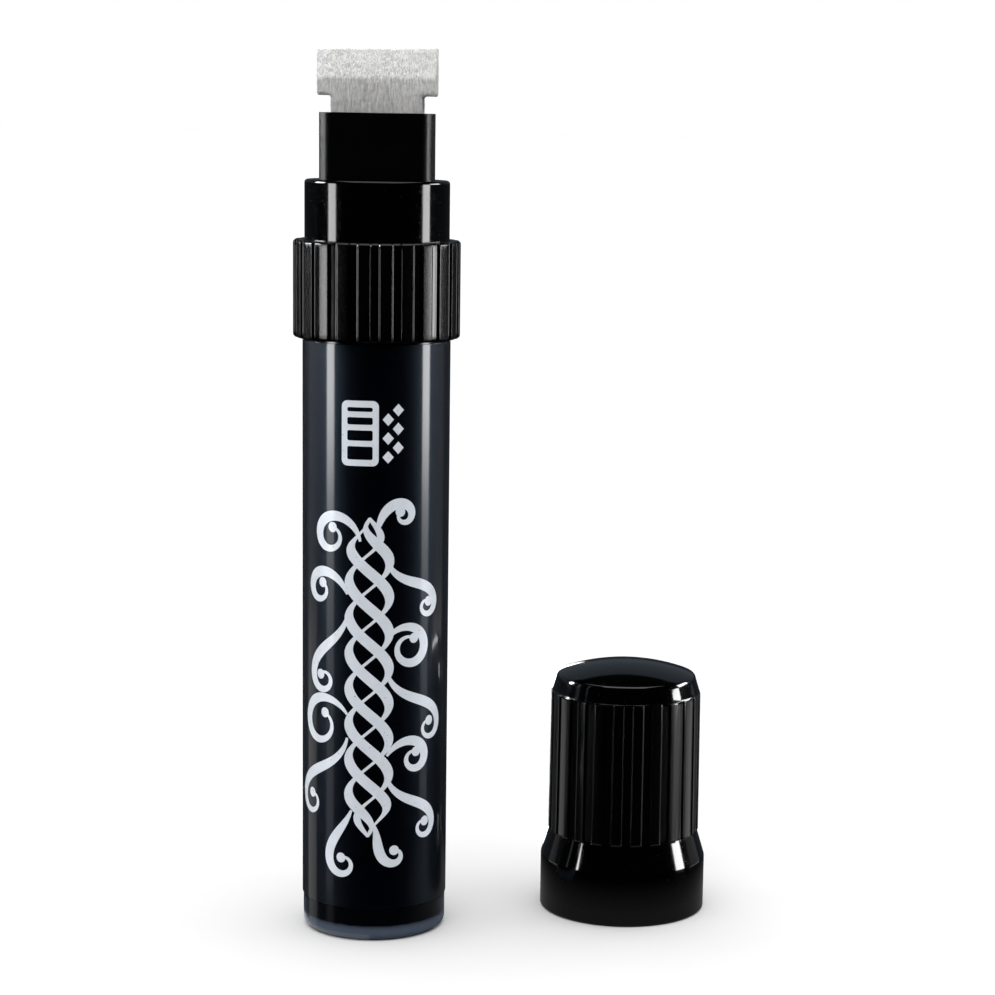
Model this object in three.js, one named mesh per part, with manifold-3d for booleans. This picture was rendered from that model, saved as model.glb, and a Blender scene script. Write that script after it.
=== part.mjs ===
// Refillable calligraphy marker with its cap standing beside it.
//
// Frame: millimetres, +Z up. The origin is the centre of the flat base that the marker stands on,
// and the wide face of the nib looks along -Y. The cap stands mouth down on the same surface.
//
// From the base up: a moulded ink barrel with a shrunk label sleeve and a loose mixing ball, a ribbed
// union collar that screws onto the threaded barrel mouth and clamps the neck on a gasket, a nib holder
// set in the neck, and a broad felt nib that works a spring loaded ink valve when it is pressed.

import * as THREE from 'three';
import { mergeVertices } from 'three/addons/utils/BufferGeometryUtils.js';
import Module from 'manifold-3d';

// ---- Round pieces -------------------------------------------------------------------------------
const roundSides = 48;
const smallSides = 32;

// ---- Fits ---------------------------------------------------------------------------------------
const slideFit = 0.25; // radial room of a piece that slides in another
const restGap = 0.1; // between two pieces that rest on each other
const seatGap = 0.2; // on each side of a soft seal
const wrapGap = 0.03; // between the barrel and its shrunk sleeve

// ---- Barrel -------------------------------------------------------------------------------------
const barrelRadius = 12.25;
const barrelWall = 1.3;
const barrelFloor = 2.4;
const barrelEdge = 1.3; // rounding of the lower edge
const barrelHeight = 101.9; // base to the lower face of the collar
const shoulderRise = 0.8; // how far the full barrel reaches up inside the collar
const shoulderStep = 0.65; // from the barrel's side in to the root of its outer thread
const mouthWall = 1.2;
const mouthRim = 0.3; // above the thread

// ---- Label sleeve -------------------------------------------------------------------------------
const labelFilm = 0.14;
const labelStart = 5.8;
const labelTopGap = 0.4;

// ---- Mixing ball --------------------------------------------------------------------------------
const ballRadius = 3.2;
const ballSideRoom = 1.8; // to the bore of the barrel mouth
const ballTurn = -33.7; // degrees from +X

// ---- Thread between barrel and collar -----------------------------------------------------------
const threadPitch = 3.0;
const threadTurns = 2.25;
const threadStart = 2.6; // above the lower face of the collar
const threadDepth = 0.6;
const threadRootHalf = 0.75;
const threadCrestHalf = 0.35;
const threadBury = 0.2; // how far a thread is sunk in its wall
const threadStepsPerTurn = 24;
const threadFade = 0.12; // share of the thread over which each end fades out

// ---- Ribs of the collar and of the cap ----------------------------------------------------------
const ribCount = 24;
const ribFlankAngle = 0.7; // degrees between a rib's crest edge and the groove floor

// ---- Nib ----------------------------------------------------------------------------------------
const nibWidth = 20.05;
const nibTaper = 0.3; // the head is this much narrower at its lower edge
const nibHeadHeight = 7.9;
const nibRise = 0.3; // the writing edge climbs this much across the width
const nibThickness = 5.0;
const nibEdge = 1.2; // thickness of the writing edge
const nibChisel = 5.1; // height of the cut that thins the head
const nibStop = 0.4; // left between head and holder when the nib is pressed home
const stemWidth = 15.2;
const stemDepthInHolder = 12.0;

// ---- Nib holder ---------------------------------------------------------------------------------
const holderSideWall = 1.525;
const holderFaceWall = 2.25;
const holderCorner = 2.2;
const holderReach = 10.9; // above the neck
const holderEdge = 0.35;

// ---- Neck ---------------------------------------------------------------------------------------
const gasketThickness = 0.8;
const neckWall = 2.0; // outside the corners of the holder's pocket
const neckHeight = 9.9; // above the collar
const neckEdge = 0.5;
const flangeStep = 0.9;
const flangeOverMouth = 1.35; // least cover of the barrel mouth
const flangeHeight = 2.8;
const pocketDepth = 9.6;
const pocketRoom = 0.2;
const webThickness = 1.8;
const portRadius = 2.6;
const skirtRoom = 0.3; // between the neck's skirt and the barrel mouth
const skirtWall = 1.2;

// ---- Collar -------------------------------------------------------------------------------------
const collarWall = 1.05; // outside the thread, under the grooves
const chamberSideWall = 0.5; // outside the neck flange, under the grooves
const collarGroove = 0.4;
const collarRibAngle = 8.0; // degrees across a rib's crest
const collarRibTurn = -2.4; // degrees from the front to the nearest rib
const collarRoom = 0.3; // round the barrel's side
const collarLip = 1.5;
const collarLipRoom = 0.3; // above the neck flange

// ---- Valve --------------------------------------------------------------------------------------
const pressTravel = 2.4;
const padInset = 1.1; // each end of the pad, from the end of the nib's stem
const padFaceInset = 0.3; // each face of the pad, from the nib's faces
const padHeight = 1.6;
const rodRadius = 1.6;
const discRadius = 5.4;
const discHeight = 1.2;
const sealRadius = 5.2;
const sealThickness = 1.0;
const guideRadius = 1.4;
const guideRoom = 1.2; // left under the guide when the nib is pressed home
const springRadius = 3.0;
const springWire = 0.35;
const springLength = 10.0;
const springTurns = 5;
const cageWall = 1.1;
const cageFloor = 1.2;
const cageHeight = 9.0;
const cageRimInset = 0.3; // from the outside of the neck's skirt
const cageHoleRadius = 1.5;
const cageHoleCircle = 5.0;
const cageHoleCount = 4;

// ---- Cap ----------------------------------------------------------------------------------------
const capApart = 16.67; // between the sides of the collar and the cap
const capTurn = 18.215; // degrees from +X to the cap's place
const capSkirtWall = 2.15;
const capSkirtHeight = 9.5;
const capFlareHeight = 4.9;
const capFlareStep = 1.2; // least step from the ribs out to the skirt
const capRibTaper = 0.2; // the ribs lean in by this much from bottom to top
const capRibStep = 0.25; // from the smooth band out to the ribs
const capGroove = 0.3;
const capRibAngle = 7.1;
const capRibTurn = -4.3;
const capBandHeight = 2.9;
const capBandTaper = 0.65;
const capCrownRise = 2.2;
const capCrownEdge = 0.6;
const capCrownWall = 1.0;
const capEdgeWall = 0.4; // outside the bore, at the edge of the crown
const capMouthEdge = 0.3;
const capRibBackWall = 1.25;
const capHeadroom = 10.7; // from the nib's edge to the edge of the crown, with the cap on
const nibSideRoom = 0.717; // round the nib in the liner, with the cap on
const linerWall = 0.65;
const linerRoom = 0.2;
const capSealHeight = 1.0;
const capSealLip = 1.5;

// ---- Places worked out from the sizes above -----------------------------------------------------
const labelRadius = barrelRadius + wrapGap + labelFilm;
const barrelBore = barrelRadius - barrelWall;
const mouthRadius = barrelRadius - shoulderStep;
const mouthBore = mouthRadius - mouthWall;
const threadHeight = threadTurns * threadPitch;
const mouthTop = barrelHeight + threadStart + threadHeight + threadRootHalf + mouthRim;
const ballDistance = mouthBore - ballRadius - ballSideRoom;
const gasketBottom = mouthTop + seatGap;
const flangeBottom = gasketBottom + gasketThickness + seatGap;
const flangeTop = flangeBottom + flangeHeight;
const lipBottom = flangeTop + collarLipRoom;
const collarTop = lipBottom + collarLip;
const neckTop = collarTop + neckHeight;
const pocketFloor = neckTop - pocketDepth;
const webBottom = pocketFloor - webThickness;
const holderWidth = stemWidth + 2 * slideFit + 2 * holderSideWall;
const holderDepth = nibThickness + 2 * slideFit + 2 * holderFaceWall;
const holderTop = neckTop + holderReach;
const nibUnderside = holderTop + pressTravel + nibStop;
const nibTop = nibUnderside + nibHeadHeight;
const stemBottom = holderTop - stemDepthInHolder;
const holderCornerReach = Math.hypot(holderWidth / 2 - holderCorner, holderDepth / 2 - holderCorner);
const neckRadius = holderCornerReach + holderCorner + pocketRoom + neckWall;
const flangeRadius = Math.max(neckRadius + flangeStep, mouthRadius + flangeOverMouth);
const collarBore = barrelRadius + collarRoom;
const collarFloor = Math.max(collarBore + collarWall, flangeRadius + restGap + chamberSideWall);
const collarRadius = collarFloor + collarGroove;
const discTop = webBottom - sealThickness - 2 * restGap;
const discBottom = discTop - discHeight;
const guideLength = springLength - pressTravel - guideRoom;
const springTop = discBottom - restGap;
const springBottom = springTop - springLength;
const cageFloorTop = springBottom - restGap;
const cageBottom = cageFloorTop - cageFloor;
const skirtRadius = mouthBore - skirtRoom;
const skirtBottom = cageFloorTop + seatGap;
const chamberRadius = skirtRadius - skirtWall;
const cageRadius = chamberRadius - seatGap;
const capSkirtBore = neckRadius + slideFit + restGap;
const linerBore = Math.hypot(nibWidth / 2, nibThickness / 2) + nibSideRoom;
const linerRadius = linerBore + linerWall;
const capBore = linerRadius + linerRoom;
const capEdgeRadius = capBore + capEdgeWall;
const capBandRadius = capEdgeRadius + capBandTaper;
const capRibTopRadius = capBandRadius + capRibStep;
const capRibRadius = capRibTopRadius + capRibTaper;
const capSkirtRadius = Math.max(capSkirtBore + capSkirtWall, capRibRadius + capFlareStep);
const capFlareTop = capSkirtHeight + capFlareHeight;
const capEdgeHeight = nibTop - collarTop + capHeadroom;
const capRibTop = capEdgeHeight - capBandHeight;
const capCeiling = capEdgeHeight - capCrownWall;
const linerTop = capCeiling - linerRoom;
const capSealBottom = neckHeight + seatGap + restGap;
const linerBottom = capSealBottom + capSealHeight + seatGap;
const capDistance = collarRadius + capSkirtRadius + capApart;

const wasm = await Module();
wasm.setup();

// ---- Geometry helpers ---------------------------------------------------------------------------

// Points only, shared corners, no flat triangles, faces outward.
function closedGeometry(source) {
  const bare = source.clone();
  bare.deleteAttribute('normal');
  bare.deleteAttribute('uv');
  const merged = mergeVertices(bare, 1e-4);
  const corners = merged.index.array;
  const position = merged.attributes.position;
  const a = new THREE.Vector3();
  const b = new THREE.Vector3();
  const c = new THREE.Vector3();
  const kept = [];
  let volume = 0;
  for (let i = 0; i < corners.length; i += 3) {
    const [p, q, r] = [corners[i], corners[i + 1], corners[i + 2]];
    if (p === q || q === r || r === p) continue;
    kept.push(p, q, r);
    a.fromBufferAttribute(position, p);
    b.fromBufferAttribute(position, q);
    c.fromBufferAttribute(position, r);
    volume += a.dot(b.cross(c));
  }
  merged.setIndex(volume < 0 ? kept.reverse() : kept);
  return merged;
}

function toSolid(geometry) {
  const closed = closedGeometry(geometry);
  const vertProperties = new Float32Array(closed.attributes.position.array);
  const triVerts = new Uint32Array(closed.index.array);
  return new wasm.Manifold(new wasm.Mesh({ numProp: 3, vertProperties, triVerts }));
}

function toGeometry(solid) {
  const mesh = solid.getMesh();
  const geometry = new THREE.BufferGeometry();
  geometry.setAttribute('position', new THREE.BufferAttribute(mesh.vertProperties, 3));
  geometry.setIndex(new THREE.BufferAttribute(mesh.triVerts, 1));
  return geometry;
}

function cut(geometry, ...tools) {
  return toGeometry(tools.reduce((solid, tool) => solid.subtract(toSolid(tool)), toSolid(geometry)));
}

function join(geometry, ...others) {
  return toGeometry(others.reduce((solid, other) => solid.add(toSolid(other)), toSolid(geometry)));
}

// A solid of revolution about Z from [radius, height] pairs that close on themselves or on the axis.
function turned(profile, sides = roundSides) {
  const points = profile.map(([radius, height]) => new THREE.Vector2(radius, height));
  const onAxis = profile[0][0] === 0 && profile[profile.length - 1][0] === 0;
  if (!onAxis) points.push(points[0].clone());
  return new THREE.LatheGeometry(points, sides).rotateX(Math.PI / 2);
}

function ring(innerRadius, outerRadius, bottom, top, sides = roundSides) {
  return turned([[innerRadius, bottom], [outerRadius, bottom], [outerRadius, top], [innerRadius, top]], sides);
}

function rod(radius, bottom, top, sides = smallSides) {
  return turned([[0, bottom], [radius, bottom], [radius, top], [0, top]], sides);
}

// Points of a quarter round from one height to another, as [radius, height] pairs.
function roundedEdge(radius, height, edge, fromAngle, toAngle, steps = 4) {
  const points = [];
  for (let i = 0; i <= steps; i += 1) {
    const angle = THREE.MathUtils.degToRad(fromAngle + ((toAngle - fromAngle) * i) / steps);
    points.push([radius + edge * Math.cos(angle), height + edge * Math.sin(angle)]);
  }
  return points;
}

function roundedRectangle(width, depth, corner) {
  const x = width / 2 - corner;
  const y = depth / 2 - corner;
  const shape = new THREE.Shape();
  shape.absarc(x, y, corner, 0, Math.PI / 2);
  shape.absarc(-x, y, corner, Math.PI / 2, Math.PI);
  shape.absarc(-x, -y, corner, Math.PI, Math.PI * 1.5);
  shape.absarc(x, -y, corner, Math.PI * 1.5, Math.PI * 2);
  return shape;
}

function upright(shape, bottom, top, curveSegments = 5) {
  const options = { depth: top - bottom, bevelEnabled: false, curveSegments };
  return new THREE.ExtrudeGeometry(shape, options).translate(0, 0, bottom);
}

// Outline of a ribbed drum. Angles are in degrees from the front (-Y) towards +X.
function ribbedOutline(crestRadius, floorRadius, ribAngle, firstRib) {
  const pitch = 360 / ribCount;
  const halfCrest = ribAngle / 2;
  const halfFloor = pitch / 2 - halfCrest - ribFlankAngle;
  const points = [];
  const place = (radius, degrees) => {
    const angle = THREE.MathUtils.degToRad(degrees);
    points.push(new THREE.Vector2(radius * Math.sin(angle), -radius * Math.cos(angle)));
  };
  for (let rib = 0; rib < ribCount; rib += 1) {
    const middle = firstRib + rib * pitch;
    place(crestRadius, middle - halfCrest);
    place(crestRadius, middle);
    place(crestRadius, middle + halfCrest);
    place(floorRadius, middle + pitch / 2 - halfFloor);
    place(floorRadius, middle + pitch / 2 + halfFloor);
  }
  return new THREE.Shape(points);
}

// Draws a solid in or out evenly with height, from 1 at the bottom to topScale at the top.
function tapered(geometry, bottom, top, topScale) {
  const position = geometry.attributes.position;
  for (let i = 0; i < position.count; i += 1) {
    const share = (position.getZ(i) - bottom) / (top - bottom);
    const scale = 1 + (topScale - 1) * share;
    position.setXY(i, position.getX(i) * scale, position.getY(i) * scale);
  }
  return geometry;
}

// One right-handed thread ridge about Z. It stands from wallRadius to crestRadius, inward or outward.
function threadRidge(wallRadius, crestRadius, startHeight) {
  const steps = Math.round(threadTurns * threadStepsPerTurn);
  const buried = wallRadius - Math.sign(crestRadius - wallRadius) * threadBury;
  const corners = [];
  for (let i = 0; i <= steps; i += 1) {
    const along = i / steps;
    const fade = Math.min(1, along / threadFade, (1 - along) / threadFade);
    const crest = THREE.MathUtils.lerp(buried, crestRadius, Math.max(fade, 0.05));
    const angle = along * threadTurns * Math.PI * 2;
    const height = startHeight + along * threadTurns * threadPitch;
    const section = [
      [buried, -threadRootHalf],
      [crest, -threadCrestHalf],
      [crest, threadCrestHalf],
      [buried, threadRootHalf],
    ];
    section.forEach(([radius, rise]) => {
      corners.push(radius * Math.sin(angle), -radius * Math.cos(angle), height + rise);
    });
  }
  const faces = [];
  for (let i = 0; i < steps; i += 1) {
    for (let side = 0; side < 4; side += 1) {
      const here = i * 4 + side;
      const beside = i * 4 + ((side + 1) % 4);
      faces.push(here, beside, here + 4, beside, beside + 4, here + 4);
    }
  }
  const last = steps * 4;
  faces.push(0, 2, 1, 0, 3, 2, last, last + 1, last + 2, last, last + 2, last + 3);
  const ridge = new THREE.BufferGeometry();
  ridge.setAttribute('position', new THREE.Float32BufferAttribute(corners, 3));
  ridge.setIndex(faces);
  return ridge;
}

// ---- Barrel assembly ----------------------------------------------------------------------------

function barrel() {
  const shoulder = barrelHeight + shoulderRise;
  const neckIn = barrelBore - mouthBore;
  const body = turned([
    [0, 0],
    ...roundedEdge(barrelRadius - barrelEdge, barrelEdge, barrelEdge, -90, 0),
    [barrelRadius, shoulder],
    [mouthRadius, shoulder],
    [mouthRadius, mouthTop],
    [mouthBore, mouthTop],
    [mouthBore, shoulder],
    [barrelBore, shoulder - 2 * neckIn],
    ...roundedEdge(barrelBore - barrelEdge, barrelFloor + barrelEdge, barrelEdge, 0, -90, 3),
    [0, barrelFloor],
  ]);
  return join(body, threadRidge(mouthRadius, mouthRadius + threadDepth, barrelHeight + threadStart));
}

function labelSleeve() {
  return ring(barrelRadius + wrapGap, labelRadius, labelStart, barrelHeight - labelTopGap);
}

function mixingBall() {
  const height = barrelFloor + restGap + ballRadius;
  const angle = THREE.MathUtils.degToRad(ballTurn);
  const ball = new THREE.SphereGeometry(ballRadius, 20, 12);
  return ball.translate(ballDistance * Math.cos(angle), ballDistance * Math.sin(angle), height);
}

// ---- Collar -------------------------------------------------------------------------------------

function gripCollar() {
  const outline = ribbedOutline(collarRadius, collarFloor, collarRibAngle, collarRibTurn);
  const drum = upright(outline, barrelHeight, collarTop);
  const chamber = flangeRadius + restGap;
  const opening = neckRadius + seatGap;
  const bore = turned([
    [0, barrelHeight - 1],
    [collarBore, barrelHeight - 1],
    [collarBore, mouthTop],
    [chamber, mouthTop + seatGap / 2],
    [chamber, lipBottom],
    [opening, lipBottom],
    [opening, collarTop + 1],
    [0, collarTop + 1],
  ]);
  const threadRise = barrelHeight + threadStart - threadPitch / 2;
  const nut = cut(drum, bore);
  return join(nut, threadRidge(collarBore, collarBore - threadDepth, threadRise));
}

// ---- Neck and nib -------------------------------------------------------------------------------

function neck() {
  const body = turned([
    [portRadius, webBottom],
    [chamberRadius, webBottom],
    [chamberRadius, skirtBottom],
    [skirtRadius, skirtBottom],
    [skirtRadius, flangeBottom],
    [flangeRadius, flangeBottom],
    [flangeRadius, flangeTop],
    [neckRadius, flangeTop],
    [neckRadius, neckTop - neckEdge],
    [neckRadius - neckEdge, neckTop],
    [portRadius, neckTop],
  ]);
  const width = holderWidth + 2 * pocketRoom;
  const depth = holderDepth + 2 * pocketRoom;
  const pocket = roundedRectangle(width, depth, holderCorner + pocketRoom);
  return cut(body, upright(pocket, pocketFloor, neckTop + 1));
}

function mouthGasket() {
  return ring(mouthBore + restGap, flangeRadius - 3 * seatGap, gasketBottom, gasketBottom + gasketThickness);
}

function nibHolder() {
  const outline = roundedRectangle(holderWidth, holderDepth, holderCorner);
  const bottom = pocketFloor + pocketRoom;
  const body = upright(outline, bottom, holderTop - holderEdge);
  const inset = roundedRectangle(holderWidth - 2 * holderEdge, holderDepth - 2 * holderEdge, holderCorner);
  const crown = upright(inset, holderTop - 2 * holderEdge, holderTop);
  const slotWidth = stemWidth + 2 * slideFit;
  const slotDepth = nibThickness + 2 * slideFit;
  const slot = new THREE.BoxGeometry(slotWidth, slotDepth, holderTop - bottom + 2);
  slot.translate(0, 0, (holderTop + bottom) / 2);
  return cut(join(body, crown), slot);
}

// The felt is a broad head on a narrower stem. A cut on the front and one on the back thin the head
// to its writing edge, which climbs a little towards +X.
function nib() {
  const foot = (nibWidth - nibTaper) / 2;
  const shape = new THREE.Shape();
  shape.moveTo(-stemWidth / 2, stemBottom);
  shape.lineTo(stemWidth / 2, stemBottom);
  shape.lineTo(stemWidth / 2, nibUnderside);
  shape.lineTo(foot, nibUnderside);
  shape.lineTo(nibWidth / 2, nibTop);
  shape.lineTo(-nibWidth / 2, nibTop - nibRise);
  shape.lineTo(-foot, nibUnderside);
  shape.lineTo(-stemWidth / 2, nibUnderside);
  const felt = new THREE.ExtrudeGeometry(shape, { depth: nibThickness, bevelEnabled: false });
  felt.rotateX(Math.PI / 2).translate(0, nibThickness / 2, 0);
  const chisels = [-1, 1].map((side) => {
    const wedge = new THREE.Shape();
    wedge.moveTo((side * nibEdge) / 2, nibTop);
    wedge.lineTo((side * nibThickness) / 2, nibTop - nibChisel);
    wedge.lineTo(side * nibThickness, nibTop - nibChisel);
    wedge.lineTo(side * nibThickness, nibTop + nibChisel);
    wedge.lineTo((side * nibEdge) / 2, nibTop + nibChisel);
    const tool = new THREE.ExtrudeGeometry(wedge, { depth: nibWidth * 2, bevelEnabled: false });
    tool.translate(0, 0, -nibWidth);
    tool.applyMatrix4(new THREE.Matrix4().makeBasis(
      new THREE.Vector3(0, 1, 0),
      new THREE.Vector3(0, 0, 1),
      new THREE.Vector3(1, 0, 0),
    ));
    return tool;
  });
  return cut(felt, ...chisels);
}

// ---- Valve --------------------------------------------------------------------------------------

function valveStem() {
  const padTop = stemBottom - restGap;
  const padBottom = padTop - padHeight;
  const padWidth = stemWidth - 2 * padInset;
  const padDepth = nibThickness - 2 * padFaceInset;
  const pad = new THREE.BoxGeometry(padWidth, padDepth, padHeight);
  pad.translate(0, 0, (padTop + padBottom) / 2);
  const stem = turned([
    [0, discBottom - guideLength],
    [guideRadius, discBottom - guideLength],
    [guideRadius, discBottom],
    [discRadius, discBottom],
    [discRadius, discTop],
    [rodRadius, discTop],
    [rodRadius, padBottom + padHeight / 2],
    [0, padBottom + padHeight / 2],
  ], smallSides);
  return join(pad, stem);
}

function valveSeal() {
  return ring(rodRadius + restGap, sealRadius, discTop + restGap, discTop + restGap + sealThickness, smallSides);
}

function valveSpring() {
  const climb = springLength - 2 * springWire;
  const pointsPerTurn = 12;
  const points = [];
  for (let i = 0; i <= springTurns * pointsPerTurn; i += 1) {
    const along = i / (springTurns * pointsPerTurn);
    const angle = along * springTurns * Math.PI * 2;
    const height = springBottom + springWire + along * climb;
    points.push(new THREE.Vector3(springRadius * Math.cos(angle), springRadius * Math.sin(angle), height));
  }
  const wire = new THREE.Shape();
  wire.absarc(0, 0, springWire, 0, Math.PI * 2);
  const path = new THREE.CatmullRomCurve3(points);
  const options = { steps: springTurns * 14, extrudePath: path, bevelEnabled: false, curveSegments: 3 };
  return new THREE.ExtrudeGeometry(wire, options);
}

function springCage() {
  const cup = turned([
    [0, cageBottom],
    [skirtRadius - cageRimInset, cageBottom],
    [skirtRadius - cageRimInset, skirtBottom - seatGap],
    [cageRadius, skirtBottom - seatGap],
    [cageRadius, cageBottom + cageHeight],
    [cageRadius - cageWall, cageBottom + cageHeight],
    [cageRadius - cageWall, cageFloorTop],
    [0, cageFloorTop],
  ]);
  const holes = [];
  for (let i = 0; i < cageHoleCount; i += 1) {
    const angle = (i / cageHoleCount) * Math.PI * 2;
    const hole = rod(cageHoleRadius, cageBottom - 1, cageFloorTop + 1, 16);
    hole.translate(cageHoleCircle * Math.cos(angle), cageHoleCircle * Math.sin(angle), 0);
    holes.push(hole);
  }
  return cut(cup, ...holes);
}

// ---- Cap, standing on its mouth -----------------------------------------------------------------

// Crown of the cap from its edge to its middle: an arc that rises capCrownRise.
function crownArc(steps = 6) {
  const reach = capEdgeRadius - capCrownEdge / 2;
  const sphere = (reach * reach + capCrownRise * capCrownRise) / (2 * capCrownRise);
  const points = [];
  for (let i = 1; i <= steps; i += 1) {
    const radius = reach * (1 - i / steps);
    const drop = sphere - Math.sqrt(sphere * sphere - radius * radius);
    points.push([radius, capEdgeHeight + capCrownRise - drop]);
  }
  return points;
}

function capShell() {
  const coreTop = capRibTopRadius - capGroove;
  const coreBottom = capRibRadius - capGroove;
  const body = turned([
    [0, capCeiling],
    [capBore, capCeiling],
    [capBore, linerBottom],
    [capSkirtBore, linerBottom],
    [capSkirtBore, 0],
    [capSkirtRadius - capMouthEdge, 0],
    [capSkirtRadius, capMouthEdge],
    [capSkirtRadius, capSkirtHeight],
    [coreBottom, capFlareTop],
    [coreTop, capRibTop],
    [capBandRadius, capRibTop],
    [capEdgeRadius, capEdgeHeight - capCrownEdge],
    [capEdgeRadius - capCrownEdge / 2, capEdgeHeight],
    ...crownArc(),
  ]);
  const outline = ribbedOutline(capRibRadius, coreBottom - 0.05, capRibAngle, capRibTurn);
  const hole = new THREE.Path();
  hole.absarc(0, 0, capRibTopRadius - capRibBackWall, 0, Math.PI * 2, true);
  outline.holes.push(hole);
  const ribs = upright(outline, capFlareTop - 0.5, capRibTop, roundSides / 2);
  tapered(ribs, capFlareTop - 0.5, capRibTop, capRibTopRadius / capRibRadius);
  return join(body, ribs);
}

function capLiner() {
  return turned([
    [0, linerTop - linerWall],
    [linerBore, linerTop - linerWall],
    [linerBore, linerBottom + restGap],
    [linerRadius, linerBottom + restGap],
    [linerRadius, linerTop],
    [0, linerTop],
  ]);
}

function capSeal() {
  const outer = capSkirtBore - restGap;
  return ring(outer - capSealLip, outer, capSealBottom, capSealBottom + capSealHeight);
}

// ---- Finishes and assembly ----------------------------------------------------------------------

const finishes = {
  smokedTube: { color: 0x4a5260, roughness: 0.18, metalness: 0 },
  labelFilm: { color: 0x14161c, roughness: 0.12, metalness: 0 },
  glossBlack: { color: 0x0b0b0d, roughness: 0.12, metalness: 0 },
  grainBlack: { color: 0x1b1b1d, roughness: 0.55, metalness: 0 },
  satinBlack: { color: 0x131314, roughness: 0.4, metalness: 0 },
  feltGrey: { color: 0xc9c8c5, roughness: 0.95, metalness: 0 },
  innerPlastic: { color: 0xd9dadb, roughness: 0.45, metalness: 0 },
  sealRubber: { color: 0x2a2a2c, roughness: 0.7, metalness: 0 },
  steel: { color: 0xb8bcc2, roughness: 0.25, metalness: 1 },
};

function addMesh(parent, name, geometry, finish) {
  const mesh = new THREE.Mesh(closedGeometry(geometry), new THREE.MeshStandardMaterial(finishes[finish]));
  mesh.geometry.computeVertexNormals();
  mesh.name = name;
  parent.add(mesh);
}

function markerGroup() {
  const marker = new THREE.Group();
  addMesh(marker, 'barrel', barrel(), 'smokedTube');
  addMesh(marker, 'label_sleeve', labelSleeve(), 'labelFilm');
  addMesh(marker, 'mixing_ball', mixingBall(), 'steel');
  addMesh(marker, 'grip_collar', gripCollar(), 'grainBlack');
  addMesh(marker, 'neck', neck(), 'glossBlack');
  addMesh(marker, 'mouth_gasket', mouthGasket(), 'sealRubber');
  addMesh(marker, 'nib_holder', nibHolder(), 'satinBlack');
  addMesh(marker, 'nib', nib(), 'feltGrey');
  addMesh(marker, 'valve_stem', valveStem(), 'innerPlastic');
  addMesh(marker, 'valve_seal', valveSeal(), 'sealRubber');
  addMesh(marker, 'valve_spring', valveSpring(), 'steel');
  addMesh(marker, 'spring_cage', springCage(), 'innerPlastic');
  return marker;
}

function capGroup() {
  const cap = new THREE.Group();
  addMesh(cap, 'cap_shell', capShell(), 'glossBlack');
  addMesh(cap, 'cap_liner', capLiner(), 'innerPlastic');
  addMesh(cap, 'cap_seal', capSeal(), 'sealRubber');
  const angle = THREE.MathUtils.degToRad(capTurn);
  cap.position.set(capDistance * Math.cos(angle), capDistance * Math.sin(angle), 0);
  return cap;
}

const calligraphyMarker = new THREE.Group();
calligraphyMarker.add(markerGroup(), capGroup());

export default calligraphyMarker;
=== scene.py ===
"""Broad calligraphy marker with its cap standing beside it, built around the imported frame."""

import math

import bpy
from bpy.props import FloatProperty, FloatVectorProperty, IntProperty, PointerProperty
from mathutils import Matrix, Vector


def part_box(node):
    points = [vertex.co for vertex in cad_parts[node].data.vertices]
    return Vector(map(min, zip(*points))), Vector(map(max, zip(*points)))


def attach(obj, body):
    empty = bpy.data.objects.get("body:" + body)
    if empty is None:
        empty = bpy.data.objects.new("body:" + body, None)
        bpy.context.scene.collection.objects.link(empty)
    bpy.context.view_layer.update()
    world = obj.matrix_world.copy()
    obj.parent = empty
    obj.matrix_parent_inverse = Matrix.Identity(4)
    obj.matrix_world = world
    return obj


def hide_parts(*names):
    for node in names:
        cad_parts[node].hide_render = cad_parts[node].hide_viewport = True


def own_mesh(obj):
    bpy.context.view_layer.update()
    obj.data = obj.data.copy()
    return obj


bl_info = {
    "name": "Broad Calligraphy Marker",
    "version": (1, 0, 0),
    "blender": (4, 5, 0),
    "location": "3D View > Sidebar > Marker",
    "description": "Builds a refillable broad-nib marker and its cap around the packed frame",
    "category": "Add Mesh",
}

MM = 0.001
RIB_PITCH = 360.0 / 24
THREAD_PITCH = 3.0 * MM
COLLAR_RIB_TURN = -2.4
CAP_RIB_TURN = -4.3
COLLAR_HALF_RIB = 4.2
CAP_HALF_RIB = 3.7
COLLAR_TURNS_OF_THREAD = 1.75
TUBE_TURNS_OF_THREAD = 2.25

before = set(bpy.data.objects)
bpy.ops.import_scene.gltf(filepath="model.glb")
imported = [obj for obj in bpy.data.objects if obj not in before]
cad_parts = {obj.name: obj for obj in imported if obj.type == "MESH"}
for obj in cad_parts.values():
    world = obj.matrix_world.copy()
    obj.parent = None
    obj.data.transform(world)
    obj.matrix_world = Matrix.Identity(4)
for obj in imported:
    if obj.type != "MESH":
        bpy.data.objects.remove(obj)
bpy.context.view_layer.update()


def lowest(node):
    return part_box(node)[0]


def highest(node):
    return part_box(node)[1]


CAP_MIDDLE = (lowest("cap_shell") + highest("cap_shell")) / 2
CAP_CENTRE = (CAP_MIDDLE.x, CAP_MIDDLE.y)


# ---- Sizes, finishes and stage that a user may change ---------------------------------------------


def length(name, description, default):
    return FloatProperty(
        name=name,
        description=description,
        default=default,
        min=0.0,
        unit="LENGTH",
        subtype="DISTANCE",
        precision=5,
    )


def colour(name, description, default):
    return FloatVectorProperty(
        name=name, description=description, default=default, size=3, min=0.0, max=1.0, subtype="COLOR"
    )


def share_of_one(name, description, default, low=0.0):
    return FloatProperty(name=name, description=description, default=default, min=low, max=1.0)


def turned(name, description, degrees):
    return FloatProperty(name=name, description=description, default=math.radians(degrees), unit="ROTATION")


def strength(name, description, default):
    return FloatProperty(name=name, description=description, default=default, min=0.0)


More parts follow.
